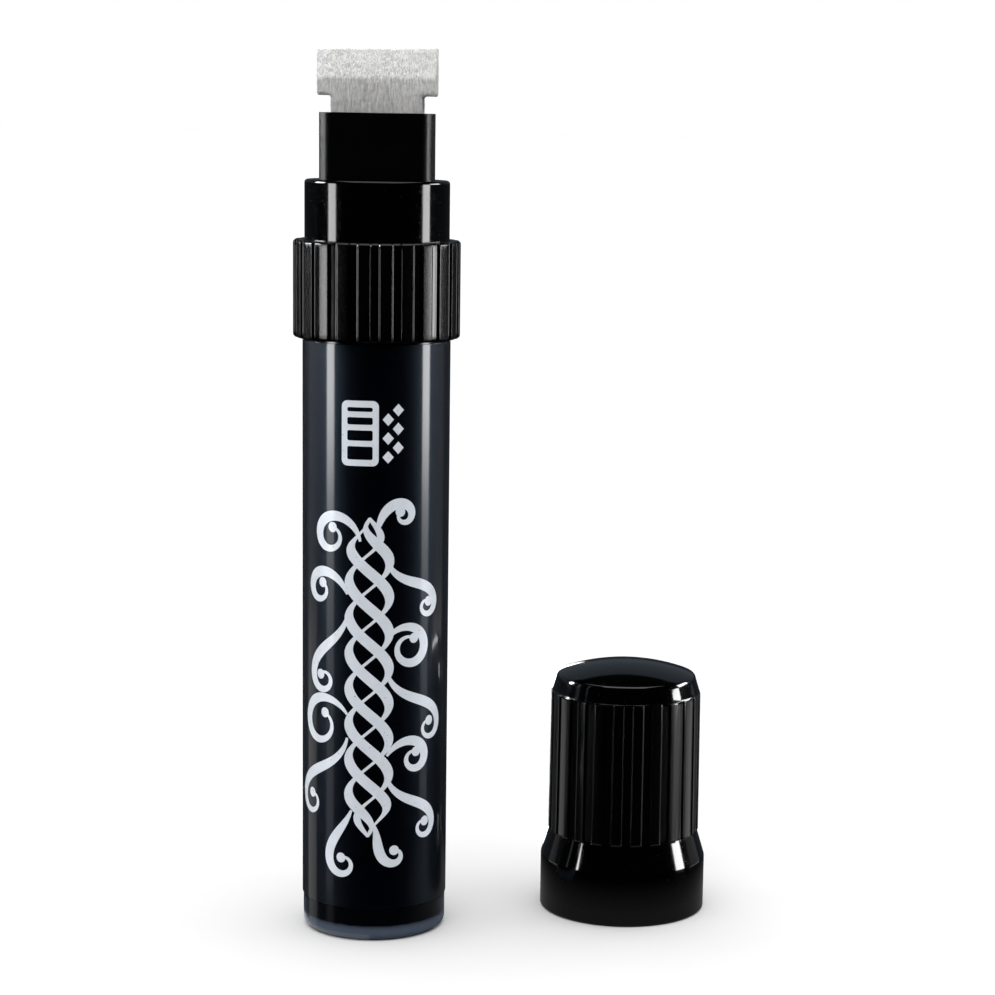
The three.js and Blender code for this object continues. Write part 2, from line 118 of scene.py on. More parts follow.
class MarkerSizes(bpy.types.PropertyGroup):
    """Sizes of the marker's pieces"""

    tube_radius: length("Tube radius", "Outside of the ink tube", 12.25 * MM)
    tube_bore: length("Tube bore", "Inside of the ink tube", 10.95 * MM)
    mouth_radius: length("Mouth radius", "Outside of the tube's threaded mouth", 11.6 * MM)
    mouth_bore: length("Mouth bore", "Inside of the tube's mouth", 10.4 * MM)
    tube_floor: length("Tube floor", "Thickness of the tube's closed end", 2.4 * MM)
    tube_edge: length("Tube edge", "Rounding of the tube's closed end", 1.3 * MM)
    sleeve_radius: length("Sleeve radius", "Outside of the printed film", highest("label_sleeve").x)
    sleeve_film: length("Sleeve film", "Thickness of the printed film", 0.14 * MM)
    collar_radius: length("Collar radius", "Over the ribs of the grip collar", 14.0 * MM)
    collar_groove: length("Collar groove", "Depth of the grooves between the collar's ribs", 0.4 * MM)
    collar_bore: length("Collar bore", "Inside of the collar round its thread", 12.55 * MM)
    neck_radius: length("Neck radius", "Outside of the neck above the collar", 12.1 * MM)
    holder_corner: length("Holder corner", "Rounding of the nib holder's upright edges", 2.2 * MM)
    nib_edge: length("Nib edge", "Thickness of the nib along its writing edge", 1.2 * MM)
    nib_stem: length("Nib stem", "Width of the nib where it leaves the holder", 15.2 * MM)
    cap_skirt: length("Cap skirt radius", "Outside of the cap's plain foot", 14.6 * MM)
    cap_rib: length("Cap rib radius", "Over the ribs at the foot of the cap", 13.4 * MM)
    cap_groove: length("Cap groove", "Depth of the grooves between the cap's ribs", 0.3 * MM)


class MarkerFinishes(bpy.types.PropertyGroup):
    """Colours and gloss of the marker's pieces"""

    plastic: colour("Plastic", "Moulded black plastic", (0.0003, 0.0003, 0.00035))
    film: colour("Film", "Printed film over the tube", (0.0003, 0.0005, 0.0012))
    resin: colour("Resin", "Clouded resin at the tube's closed end", (0.050, 0.064, 0.090))
    print_silver: colour("Print", "Silver print on the film", (0.78, 0.83, 0.90))
    felt: colour("Felt", "Unused felt of the nib", (0.50, 0.50, 0.49))
    gloss: share_of_one("Gloss roughness", "Roughness of the polished plastic", 0.12, low=0.02)
    grain: share_of_one("Grain", "Depth of the grain on the collar's ribs", 0.22)


class MarkerStage(bpy.types.PropertyGroup):
    """Camera and lights"""

    eye: FloatVectorProperty(
        name="Camera place",
        description="Where the camera stands",
        default=(0.0473, -0.4238, 0.1378),
        size=3,
        unit="LENGTH",
        subtype="TRANSLATION",
    )
    yaw: turned("Yaw", "Camera's turn to the right", -2.48)
    pitch: turned("Pitch", "Camera's tilt down", 9.99)
    roll: turned("Roll", "Camera's roll", 0.94)
    lens: FloatProperty(name="Lens", description="Focal length in millimetres", default=91.575, min=10.0)
    shift_right: FloatProperty(name="Shift", description="Sideways lens shift", default=-0.0478)
    shift_up: FloatProperty(name="Rise", description="Upward lens shift", default=0.0712)
    top_light: strength("Top light", "Strength of the soft light overhead", 8.0)
    strip_light: strength("Strips", "Brightness of the two side strips", 10.6)
    front_light: strength("Front light", "Power of the soft front light", 4.3)


class MarkerOrnament(bpy.types.PropertyGroup):
    """Silver ornament on the film"""

    broad: length("Broad stroke", "Widest stroke of the pen", 1.85 * MM)
    thin: length("Thin stroke", "Thinnest stroke of the pen", 0.42 * MM)
    pen_angle: turned("Pen angle", "Slope of the pen's edge", 38)
    reach: length("Braid reach", "How far the braid swings to each side", 3.4 * MM)
    turns: IntProperty(name="Braid turns", description="Waves in each strand of the braid", default=3, min=1)


# ---- Making and finishing meshes -----------------------------------------------------------------


def clear_selection():
    """Leaves edit mode and deselects everything, because an operator acts on all that is selected."""
    if bpy.context.object is not None and bpy.context.object.mode != "OBJECT":
        bpy.ops.object.mode_set(mode="OBJECT")
    bpy.ops.object.select_all(action="DESELECT")


def pick(piece):
    """Makes the piece the only selected and active object."""
    clear_selection()
    piece.select_set(True)
    bpy.context.view_layer.objects.active = piece


def settle(piece):
    """Puts the piece's place, turn and scale into its mesh."""
    pick(piece)
    bpy.ops.object.transform_apply(location=True, rotation=True, scale=True)


def with_modifier(piece, kind, **settings):
    """Adds a modifier with these settings and applies it."""
    pick(piece)
    modifier = piece.modifiers.new(kind.title(), kind)
    for key, value in settings.items():
        setattr(modifier, key, value)
    bpy.ops.object.modifier_apply(modifier=modifier.name)


def round_edges(piece, width, segments=3, sharper_than=28.0):
    with_modifier(
        piece,
        "BEVEL",
        width=width,
        segments=segments,
        limit_method="ANGLE",
        angle_limit=math.radians(sharper_than),
        harden_normals=False,
    )


def smooth(piece, angle=34.0):
    pick(piece)
    bpy.ops.object.shade_smooth_by_angle(angle=math.radians(angle))
    with_modifier(piece, "WEIGHTED_NORMAL", mode="FACE_AREA", weight=90, keep_sharp=True)


def select_points(piece, wanted):
    """Opens the piece in edit mode with the vertices selected whose place passes the test."""
    pick(piece)
    bpy.ops.object.mode_set(mode="EDIT")
    bpy.ops.mesh.select_mode(type="VERT")
    bpy.ops.mesh.select_all(action="DESELECT")
    bpy.ops.object.mode_set(mode="OBJECT")
    for point in piece.data.vertices:
        point.select = wanted(point.co)
    bpy.ops.object.mode_set(mode="EDIT")


def tidy_shell(piece, gap=1e-7):
    """Merges doubled points and turns every face outwards."""
    pick(piece)
    bpy.ops.object.mode_set(mode="EDIT")
    bpy.ops.mesh.select_all(action="SELECT")
    bpy.ops.mesh.remove_doubles(threshold=gap)
    bpy.ops.mesh.normals_make_consistent(inside=False)
    bpy.ops.object.mode_set(mode="OBJECT")


def turned_piece(name, outline, sides=128, centre=(0.0, 0.0), turn=0.0, filled=False):
    """Turns (radius, height) points about an upright axis: a solid when filled, else a closed ring."""
    clear_selection()
    radius, height = outline[0]
    x, y = centre
    bpy.ops.mesh.primitive_circle_add(
        vertices=sides, radius=radius, fill_type="NGON" if filled else "NOTHING", location=(x, y, height)
    )
    piece = bpy.context.object
    piece.name = name
    piece.rotation_euler.z = turn
    settle(piece)
    bpy.ops.object.mode_set(mode="EDIT")
    bpy.ops.mesh.select_mode(type="VERT")
    bpy.ops.mesh.select_all(action="SELECT")
    for next_radius, next_height in outline[1:] if filled else [*outline[1:], outline[0]]:
        bpy.ops.mesh.extrude_region_move(TRANSFORM_OT_translate={"value": (0, 0, next_height - height)})
        grow = next_radius / radius
        bpy.ops.transform.resize(value=(grow, grow, 1), center_override=(x, y, next_height))
        radius, height = next_radius, next_height
    bpy.ops.object.mode_set(mode="OBJECT")
    tidy_shell(piece)
    return piece


def arc(centre, radius, start, end, steps=6):
    """Points of an arc in the outline's plane, angles in degrees from outwards towards up."""
    points = []
    for i in range(steps + 1):
        angle = math.radians(start + (end - start) * i / steps)
        points.append((centre[0] + radius * math.cos(angle), centre[1] + radius * math.sin(angle)))
    return points


def rounded_block(name, width, depth, bottom, top, corner, segments=8, centre=(0.0, 0.0)):
    """An upright block with rounded upright edges."""
    clear_selection()
    bpy.ops.mesh.primitive_cube_add(size=1, location=(centre[0], centre[1], (bottom + top) / 2))
    piece = bpy.context.object
    piece.name = name
    piece.scale = (width, depth, top - bottom)
    settle(piece)
    bpy.ops.object.mode_set(mode="EDIT")
    bpy.ops.mesh.select_mode(type="EDGE")
    bpy.ops.mesh.select_all(action="DESELECT")
    bpy.ops.object.mode_set(mode="OBJECT")
    points = piece.data.vertices
    for edge in piece.data.edges:
        a, b = (points[i].co for i in edge.vertices)
        edge.select = abs(a.z - b.z) > (top - bottom) / 2
    bpy.ops.object.mode_set(mode="EDIT")
    bpy.ops.mesh.bevel(offset=corner, segments=segments)
    bpy.ops.object.mode_set(mode="OBJECT")
    return piece


def cut_with(piece, cutter, operation="DIFFERENCE"):
    """Cuts the piece with the cutter, or joins them, and throws the cutter away."""
    with_modifier(piece, "BOOLEAN", object=cutter, operation=operation, solver="EXACT")
    bpy.data.objects.remove(cutter)


def press_grooves(piece, centre, turn, pitch, half_rib, bottom, top, inner, depth_factor):
    """Presses the grooves between the ribs in: the points off the ribs move towards the axis."""

    def in_groove(co):
        x, y = co.x - centre[0], co.y - centre[1]
        radius = math.hypot(x, y)
        angle = math.degrees(math.atan2(x, -y)) - turn
        off_rib = abs((angle + pitch / 2) % pitch - pitch / 2) > half_rib
        return off_rib and radius > inner and bottom <= co.z <= top

    select_points(piece, in_groove)
    bpy.ops.transform.resize(value=(depth_factor, depth_factor, 1), center_override=(centre[0], centre[1], 0))
    bpy.ops.object.mode_set(mode="OBJECT")


def dress(piece, material, body, slot, *nodes):
    """Gives the piece its finish and its body, and hides the CAD nodes that it stands for."""
    piece.data.materials.clear()
    piece.data.materials.append(material)
    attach(piece, body)
    if nodes:
        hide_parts(*nodes)


def refinish(node, material):
    """Gives a CAD node a new finish."""
    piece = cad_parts[node]
    if not piece.material_slots:
        piece.data.materials.append(material)
    for slot in piece.material_slots:
        slot.material = material


# ---- Finishes ------------------------------------------------------------------------------------


def new_finish(name):
    material = bpy.data.materials.new(name)
    material.use_nodes = True
    tree = material.node_tree
    return material, tree, tree.nodes["Principled BSDF"]


def add_node(tree, kind, inputs=None, **settings):
    """Adds a shader node; an input is a plain value or another node's output."""
    made = tree.nodes.new(kind)
    for key, value in settings.items():
        setattr(made, key, value)
    for key, value in (inputs or {}).items():
        if isinstance(value, bpy.types.NodeSocket):
            tree.links.new(value, made.inputs[key])
        else:
            made.inputs[key].default_value = value
    return made


def object_place(tree, stretch=(1.0, 1.0, 1.0), centre=(0.0, 0.0)):
    """Object coordinates, moved to a piece's own axis and stretched."""
    place = add_node(tree, "ShaderNodeTexCoord").outputs["Object"]
    to_axis = {0: place, 1: (-centre[0], -centre[1], 0.0)}
    moved = add_node(tree, "ShaderNodeVectorMath", to_axis, operation="ADD").outputs[0]
    return add_node(tree, "ShaderNodeVectorMath", {0: moved, 1: stretch}, operation="MULTIPLY").outputs[0]


def noise(tree, place, scale, detail=3.0, rough=0.55):
    return add_node(
        tree, "ShaderNodeTexNoise", {"Vector": place, "Scale": scale, "Detail": detail, "Roughness": rough}
    ).outputs["Fac"]


def spread(tree, value, low, high, to_low, to_high):
    """Maps a value from one range to another, held at the ends."""
    return add_node(
        tree,
        "ShaderNodeMapRange",
        {"Value": value, "From Min": low, "From Max": high, "To Min": to_low, "To Max": to_high},
        clamp=True,
    ).outputs["Result"]


def math_node(tree, operation, first, second=0.0):
    return add_node(tree, "ShaderNodeMath", {0: first, 1: second}, operation=operation).outputs[0]


def height_above(tree):
    place = add_node(tree, "ShaderNodeTexCoord").outputs["Object"]
    return add_node(tree, "ShaderNodeSeparateXYZ", {"Vector": place}).outputs["Z"]


def out_from(tree, centre):
    """Distance from an upright axis."""
    place = object_place(tree, (1.0, 1.0, 0.0), centre)
    return add_node(tree, "ShaderNodeVectorMath", {0: place}, operation="LENGTH").outputs["Value"]


def bump(tree, shader, height, strength, distance):
    made = add_node(tree, "ShaderNodeBump", {"Height": height, "Strength": strength, "Distance": distance})
    tree.links.new(made.outputs["Normal"], shader.inputs["Normal"])


def mix_tones(tree, value, dark, light):
    mixed = tree.nodes.new("ShaderNodeMix")
    mixed.data_type = "RGBA"
    tree.links.new(value, mixed.inputs[0])
    for socket, shade in ((mixed.inputs[6], dark), (mixed.inputs[7], light)):
        if isinstance(shade, bpy.types.NodeSocket):
            tree.links.new(shade, socket)
        else:
            socket.default_value = (*shade, 1.0)
    return mixed.outputs[2]


def scaled(shade, factor):
    return tuple(min(1.0, channel * factor) for channel in shade)


def polished_plastic(name, base, rough, centre=(0.0, 0.0), satin=None):
    """Polished moulded plastic with flow marks, scuffs and dust; a band between two heights may be satin."""
    material, tree, shader = new_finish(name)
    place = object_place(tree, centre=centre)
    flow = noise(tree, object_place(tree, (1.0, 1.0, 0.35), centre), 130.0, 2.0)
    scuffs = noise(tree, object_place(tree, (1.0, 1.0, 0.06), centre), 5200.0, 2.0, 0.7)
    specks = spread(tree, noise(tree, place, 2600.0, 1.0), 0.70, 0.76, 0.0, 1.0)
    shade = mix_tones(tree, flow, scaled(base, 0.75), scaled(base, 1.35))
    tree.links.new(mix_tones(tree, specks, shade, scaled(base, 6.0)), shader.inputs["Base Color"])
    uneven = spread(tree, scuffs, 0.45, 0.75, rough * 0.7, rough * 1.15)
    if satin is not None:
        height, duller, fade = height_above(tree), 0.20, 0.5 * MM
        above = spread(tree, height, satin[0], satin[0] + fade, 0.0, duller)
        uneven = math_node(tree, "ADD", uneven, above)
        over = spread(tree, height, satin[1], satin[1] + fade, 0.0, duller)
        uneven = math_node(tree, "SUBTRACT", uneven, over)
    dusty = math_node(tree, "ADD", uneven, math_node(tree, "MULTIPLY", specks, 0.2))
    tree.links.new(dusty, shader.inputs["Roughness"])
    shader.inputs["IOR"].default_value = 1.49
    ripples = math_node(tree, "ADD", flow, math_node(tree, "MULTIPLY", scuffs, 0.04))
    bump(tree, shader, ripples, 0.05, 0.05 * MM)
    return material


def ribbed_plastic(name, base, rough, grain, centre, groove_radius, crest_radius):
    """Ribbed plastic: grained on the ribs, smoother in the grooves."""
    material, tree, shader = new_finish(name)
    place = object_place(tree, centre=centre)
    on_rib = spread(tree, out_from(tree, centre), groove_radius, crest_radius, 0.0, 1.0)
    pits = noise(tree, place, 8600.0, 3.0, 0.65)
    mottle = noise(tree, place, 700.0, 2.0)
    scuffs = noise(tree, object_place(tree, (1.0, 1.0, 0.08), centre), 3800.0, 2.0, 0.7)
    tone_value = math_node(tree, "MULTIPLY", mottle, on_rib)
    tree.links.new(mix_tones(tree, tone_value, base, scaled(base, 2.2)), shader.inputs["Base Color"])
    speckled = spread(tree, pits, 0.35, 0.7, rough * 1.05, rough * 1.9)
    grooves = spread(tree, scuffs, 0.4, 0.8, rough * 0.8, rough * 1.4)
    gap = math_node(tree, "SUBTRACT", speckled, grooves)
    uneven = math_node(tree, "ADD", grooves, math_node(tree, "MULTIPLY", gap, on_rib))
    tree.links.new(uneven, shader.inputs["Roughness"])
    shader.inputs["IOR"].default_value = 1.49
    relief = math_node(tree, "MULTIPLY", pits, on_rib)
    bump(tree, shader, relief, grain, 0.05 * MM)
    return material


def satin_plastic(name, base, rough):
    """Satin plastic with the fine even grain of an etched mould."""
    material, tree, shader = new_finish(name)
    place = object_place(tree)
    pits = noise(tree, place, 4200.0, 3.0, 0.6)
    cloud = noise(tree, place, 240.0, 2.0)
    tree.links.new(mix_tones(tree, cloud, scaled(base, 0.8), scaled(base, 1.6)), shader.inputs["Base Color"])
    tree.links.new(spread(tree, pits, 0.3, 0.7, rough * 0.85, rough * 1.3), shader.inputs["Roughness"])
    shader.inputs["IOR"].default_value = 1.49
    bump(tree, shader, pits, 0.22, 0.04 * MM)
    return material


def clouded_resin(name, base, dark, floor_height):
    """Clouded resin: pale where it is solid at the closed end, dark where ink stands behind the wall."""
    material, tree, shader = new_finish(name)
    streaks = noise(tree, object_place(tree, (1.0, 1.0, 0.4)), 420.0, 3.0)
    wavy = math_node(tree, "ADD", height_above(tree), spread(tree, streaks, 0.3, 0.7, -0.06 * MM, 0.06 * MM))
    solid = spread(tree, wavy, floor_height * 0.75, floor_height * 1.15, 1.0, 0.0)
    shade = mix_tones(tree, solid, dark, base)
    mottled = mix_tones(tree, streaks, scaled(base, 0.9), scaled(base, 1.1))
    tree.links.new(mix_tones(tree, solid, shade, mottled), shader.inputs["Base Color"])
    fine = noise(tree, object_place(tree), 3000.0, 2.0)
    tree.links.new(spread(tree, fine, 0.3, 0.7, 0.13, 0.19), shader.inputs["Roughness"])
    shader.inputs["IOR"].default_value = 1.49
    shader.inputs["Sheen Weight"].default_value = 0.12
    shader.inputs["Sheen Roughness"].default_value = 0.35
    shader.inputs["Sheen Tint"].default_value = (0.60, 0.70, 0.90, 1.0)
    bump(tree, shader, streaks, 0.03, 0.03 * MM)
    return material


def printed_film(name, base, bottom, top):
    """Gloss film shrunk on the tube: a painted highlight along its cut edges, slight waviness and an overlap
    seam at the back.
    """
    material, tree, shader = new_finish(name)
    place = add_node(tree, "ShaderNodeTexCoord").outputs["Object"]
    parts = add_node(tree, "ShaderNodeSeparateXYZ", {"Vector": place})
    waves = noise(tree, object_place(tree, (1.0, 1.0, 0.25)), 95.0, 2.0)
    scuffs = noise(tree, object_place(tree, (1.0, 1.0, 0.05)), 5600.0, 2.0, 0.7)
    at_back = math_node(tree, "GREATER_THAN", parts.outputs["Y"], 0.0)
    near_seam = spread(tree, math_node(tree, "ABSOLUTE", parts.outputs["X"]), 0.08 * MM, 0.30 * MM, 1.0, 0.0)
    seam = math_node(tree, "MULTIPLY", at_back, near_seam)
    # Painted highlight: the film is paler in a narrow band along its bottom and top cut edges.
    low_edge_highlight = spread(tree, parts.outputs["Z"], bottom + 0.10 * MM, bottom + 0.24 * MM, 1.0, 0.0)
    high_edge_highlight = spread(tree, parts.outputs["Z"], top - 0.24 * MM, top - 0.10 * MM, 0.0, 1.0)
    edge = math_node(tree, "MAXIMUM", low_edge_highlight, high_edge_highlight)
    shade = mix_tones(tree, waves, scaled(base, 0.8), scaled(base, 1.3))
    shade = mix_tones(tree, seam, shade, scaled(base, 5.0))
    # The pale band along the edges is the painted highlight.
    tree.links.new(mix_tones(tree, edge, shade, scaled(base, 4.0)), shader.inputs["Base Color"])
    tree.links.new(spread(tree, scuffs, 0.45, 0.8, 0.38, 0.52), shader.inputs["Roughness"])
    shader.inputs["Specular IOR Level"].default_value = 0.28
    shader.inputs["Specular Tint"].default_value = (0.42, 0.66, 1.0, 1.0)
    shader.inputs["Coat Weight"].default_value = 1.0
    shader.inputs["Coat Roughness"].default_value = 0.10
    shader.inputs["Coat IOR"].default_value = 1.48
    relief = math_node(tree, "ADD", waves, math_node(tree, "MULTIPLY", seam, 0.5))
    bump(tree, shader, relief, 0.10, 0.06 * MM)
    return material


def silver_ink(name, base):
    """Silver screen print: a pearly pigment with slight unevenness and pinholes."""
    material, tree, shader = new_finish(name)
    place = object_place(tree)
    cloud = noise(tree, place, 320.0, 3.0)
    flakes = noise(tree, place, 7000.0, 2.0, 0.7)
    pinholes = spread(tree, noise(tree, place, 3200.0, 1.0), 0.735, 0.76, 0.0, 1.0)
    shade = mix_tones(tree, cloud, scaled(base, 0.84), scaled(base, 1.04))
    tree.links.new(mix_tones(tree, pinholes, shade, scaled(base, 0.35)), shader.inputs["Base Color"])
    shader.inputs["Metallic"].default_value = 0.12
    tree.links.new(spread(tree, flakes, 0.3, 0.7, 0.28, 0.48), shader.inputs["Roughness"])
    bump(tree, shader, flakes, 0.12, 0.01 * MM)
    return material


def felt(name, base):
    """Pressed felt: upright fibres, soft pores, a paler fuzz and painted shade darkening it towards the
    holder.
    """
    material, tree, shader = new_finish(name)
    fibres = noise(tree, object_place(tree, (1.0, 1.0, 0.16)), 4200.0, 4.0, 0.7)
    pores = noise(tree, object_place(tree), 1500.0, 3.0, 0.6)
    cloud = noise(tree, object_place(tree), 240.0, 2.0)
    fibres = spread(tree, fibres, 0.34, 0.66, 0.0, 1.0)
    shade = mix_tones(tree, fibres, scaled(base, 0.60), scaled(base, 1.40))
    holes = spread(tree, pores, 0.30, 0.46, 0.8, 0.0)
    shade = mix_tones(tree, holes, shade, scaled(base, 0.72))
    patches = spread(tree, cloud, 0.42, 0.72, 0.0, 0.5)
    shade = mix_tones(tree, patches, shade, scaled(base, 1.25))
    # Painted shade: the felt darkens downwards from the chisel over the stem towards the holder.
    painted_stem_shade = spread(tree, height_above(tree), 139.0 * MM, 144.5 * MM, 0.5, 0.0)
    tree.links.new(mix_tones(tree, painted_stem_shade, shade, scaled(base, 0.5)), shader.inputs["Base Color"])
    shader.inputs["Roughness"].default_value = 0.92
    shader.inputs["Sheen Weight"].default_value = 0.25
    shader.inputs["Sheen Roughness"].default_value = 0.5
    shader.inputs["Subsurface Weight"].default_value = 0.08
    shader.inputs["Subsurface Scale"].default_value = 0.4 * MM
    relief = math_node(tree, "ADD", fibres, math_node(tree, "MULTIPLY", pores, 0.8))
    bump(tree, shader, relief, 0.75, 0.10 * MM)
    return material


def soft_rubber(name, base):
    """Dull rubber with a bloom and small pits."""
    material, tree, shader = new_finish(name)
    place = object_place(tree)
    bloom = noise(tree, place, 500.0, 3.0)
    pits = noise(tree, place, 3600.0, 3.0)
    tree.links.new(mix_tones(tree, bloom, base, scaled(base, 1.8)), shader.inputs["Base Color"])
    tree.links.new(spread(tree, pits, 0.3, 0.7, 0.55, 0.75), shader.inputs["Roughness"])
    bump(tree, shader, pits, 0.25, 0.05 * MM)
    return material


def drawn_steel(name, base):
    """Drawn steel wire and ground ball: bright metal with fine draw marks."""
    material, tree, shader = new_finish(name)
    marks = noise(tree, object_place(tree, (0.3, 0.3, 1.0)), 6000.0, 3.0, 0.7)
    cloud = noise(tree, object_place(tree), 600.0, 2.0)
    tree.links.new(mix_tones(tree, cloud, scaled(base, 0.8), base), shader.inputs["Base Color"])
    shader.inputs["Metallic"].default_value = 1.0
    tree.links.new(spread(tree, marks, 0.3, 0.7, 0.18, 0.36), shader.inputs["Roughness"])
    bump(tree, shader, marks, 0.15, 0.02 * MM)
    return material


# ---- Pieces of the marker ------------------------------------------------------------------------


def thread_ridge(name, root_radius, crest_radius, start_height, pitch, turns):
    """A right-handed thread ridge, pointing out or in: its section is wound up the axis."""
    clear_selection()
    middle = (root_radius + crest_radius) / 2
    outward = crest_radius > root_radius
    bpy.ops.mesh.primitive_plane_add(size=1, location=(0, -middle, start_height))
    ridge = bpy.context.object
    ridge.name = name
    ridge.rotation_euler.y = math.radians(90)
    ridge.scale = (1.5 * MM, abs(crest_radius - root_radius), 1)
    settle(ridge)
    select_points(ridge, lambda co: (co.y < -middle) == outward)
    bpy.ops.transform.resize(value=(1, 1, 0.47), center_override=(0, -middle, start_height))
    bpy.ops.mesh.select_all(action="SELECT")
    bpy.ops.mesh.delete(type="ONLY_FACE")
    bpy.ops.object.mode_set(mode="OBJECT")
    steps = int(96 * turns)
    with_modifier(
        ridge,
        "SCREW",
        axis="Z",
        angle=math.radians(360) * turns,
        screw_offset=pitch * turns,
        steps=steps,
        render_steps=steps,
        use_merge_vertices=False,
    )
    pick(ridge)
    bpy.ops.object.mode_set(mode="EDIT")
    bpy.ops.mesh.select_all(action="SELECT")
    bpy.ops.mesh.fill_holes(sides=4)
    bpy.ops.object.mode_set(mode="OBJECT")
    tidy_shell(ridge)
    return ridge


def joined(pieces, name):
    """Joins pieces into one object."""
    clear_selection()
    for piece in pieces:
        piece.select_set(True)
    bpy.context.view_layer.objects.active = pieces[0]
    bpy.ops.object.join()
    whole = bpy.context.object
    whole.name = name
    return whole


class MARKER_OT_tube(bpy.types.Operator):
    """Ink tube with its rounded closed end, shoulder and threaded mouth"""

    bl_idname = "marker.tube"
    bl_label = "Ink Tube"

    def execute(self, context):
        size, finish = context.scene.marker_sizes, context.scene.marker_finishes
        top = highest("barrel").z
        shoulder = highest("label_sleeve").z + 1.2 * MM
        bore_top = shoulder - 1.4 * MM
        outline = [
            *arc((size.tube_radius - size.tube_edge, size.tube_edge), size.tube_edge, -90, 0, 8),
            (size.tube_radius, shoulder),
            (size.mouth_radius, shoulder),
            (size.mouth_radius, top),
            (size.mouth_bore, top),
            (size.mouth_bore, shoulder),
            (size.tube_bore, bore_top),
            (size.tube_bore, size.tube_floor),
        ]
        tube = turned_piece("ink_tube", outline, sides=160, filled=True)
        round_edges(tube, 0.18 * MM, segments=2, sharper_than=40)
        root, start = size.mouth_radius - 0.1 * MM, shoulder + 1.8 * MM
        ridge = thread_ridge("thread_ridge", root, 12.2 * MM, start, THREAD_PITCH, TUBE_TURNS_OF_THREAD)
        round_edges(ridge, 0.1 * MM, segments=2)
        tube = joined([tube, ridge], "ink_tube")
        smooth(tube)
        resin = clouded_resin("clouded_resin", tuple(finish.resin), (0.0005, 0.0007, 0.0012), size.tube_floor)
        dress(tube, resin, "barrel", "smoked_tube", "barrel")
        return {"FINISHED"}


class MARKER_OT_sleeve(bpy.types.Operator):
    """Printed film that covers the tube between its closed end and the collar"""

    bl_idname = "marker.sleeve"
    bl_label = "Film Sleeve"

    def execute(self, context):
        size, finish = context.scene.marker_sizes, context.scene.marker_finishes
        bottom, top = lowest("label_sleeve").z, highest("label_sleeve").z
        inner = size.sleeve_radius - size.sleeve_film
        levels = [bottom + (top - bottom) * i / 12 for i in range(13)]
        outline = [(size.sleeve_radius, z) for z in levels] + [(inner, top), (inner, bottom)]
        sleeve = turned_piece("film_sleeve", outline, sides=180)
        round_edges(sleeve, 0.05 * MM, segments=2, sharper_than=60)
        smooth(sleeve)
        film = printed_film("printed_film", tuple(finish.film), bottom, top)
        dress(sleeve, film, "barrel", "label_film", "label_sleeve")
        return {"FINISHED"}


# ---- Silver ornament -----------------------------------------------------------------------------


def pen_halves(path, pen, broad, thin):
    """Half widths of a stroke drawn with the pen's edge held at one angle."""
    halves = []
    for i in range(len(path)):
        (u0, v0), (u1, v1) = path[max(i - 1, 0)], path[min(i + 1, len(path) - 1)]
        heading = math.atan2(v1 - v0, u1 - u0)
        halves.append((thin + (broad - thin) * abs(math.sin(heading - pen))) / 2)
    return halves


def swell_halves(count, broad, thin):
    """Half widths of a stroke that swells in its middle."""
    halves = []
    for i in range(count):
        inside = 0 < i < count - 1
        swell = math.sin(math.pi * (i / (count - 1)) ** 0.8) ** 1.3 if inside else 0.0
        halves.append((thin + (broad - thin) * swell) / 2)
    return halves


def wrap(co, radius):
    """Lays a point of the flat drawing (across, depth, up) on the sleeve."""
    angle = co.x / radius
    reach = radius - co.y
    return Vector((reach * math.sin(angle), -reach * math.cos(angle), co.z))


def ribbon(path, halves, radius, lift, across=4):
    """One stroke: a grid laid along its middle line, as wide as the pen leaves it, wrapped on the sleeve."""
    clear_selection()
    bpy.ops.mesh.primitive_grid_add(x_subdivisions=len(path) - 1, y_subdivisions=across, size=1)
    stroke = bpy.context.object
    columns = len(path)
    points = stroke.data.vertices
    if len(points) != columns * (across + 1):
        raise RuntimeError("the stroke's grid doesn't match its path")
    for i in range(columns):
        (u0, v0), (u1, v1) = path[max(i - 1, 0)], path[min(i + 1, columns - 1)]
        run = math.hypot(u1 - u0, v1 - v0) or 1.0
        side_u, side_v = -(v1 - v0) / run, (u1 - u0) / run
        for j in range(across + 1):
            reach = halves[i] * (2 * j / across - 1)
            flat = Vector((path[i][0] + side_u * reach, -lift, path[i][1] + side_v * reach))
            points[j * columns + i].co = wrap(flat, radius)
    return stroke


def scroll(start, heading, length_mm, first_bend, last_bend, steps=64):
    """A curl: its bend, in degrees for each millimetre, changes faster towards its end."""
    u, v = start
    path = [(u * MM, v * MM)]
    step = length_mm / steps
    for i in range(steps):
        bend = first_bend + (last_bend - first_bend) * ((i + 0.5) / steps) ** 1.5
        heading += bend * step
        u += step * math.cos(math.radians(heading))
        v += step * math.sin(math.radians(heading))
        path.append((u * MM, v * MM))
    return path


def dot_stroke(centre, radius, steps=20):
    """A round blob as a short stroke."""
    path = [(centre[0] + radius * (2 * i / steps - 1), centre[1]) for i in range(steps + 1)]
    halves = [max(1e-6, math.sqrt(max(0.0, radius**2 - (u - centre[0]) ** 2))) for u, _ in path]
    return path, halves


def lozenge_stroke(centre, half_height, half_width, steps=8):
    path = [(centre[0], centre[1] + half_height * (2 * i / steps - 1)) for i in range(steps + 1)]
    halves = [max(1e-6, half_width * (1 - abs(2 * i / steps - 1))) for i in range(steps + 1)]
    return path, halves


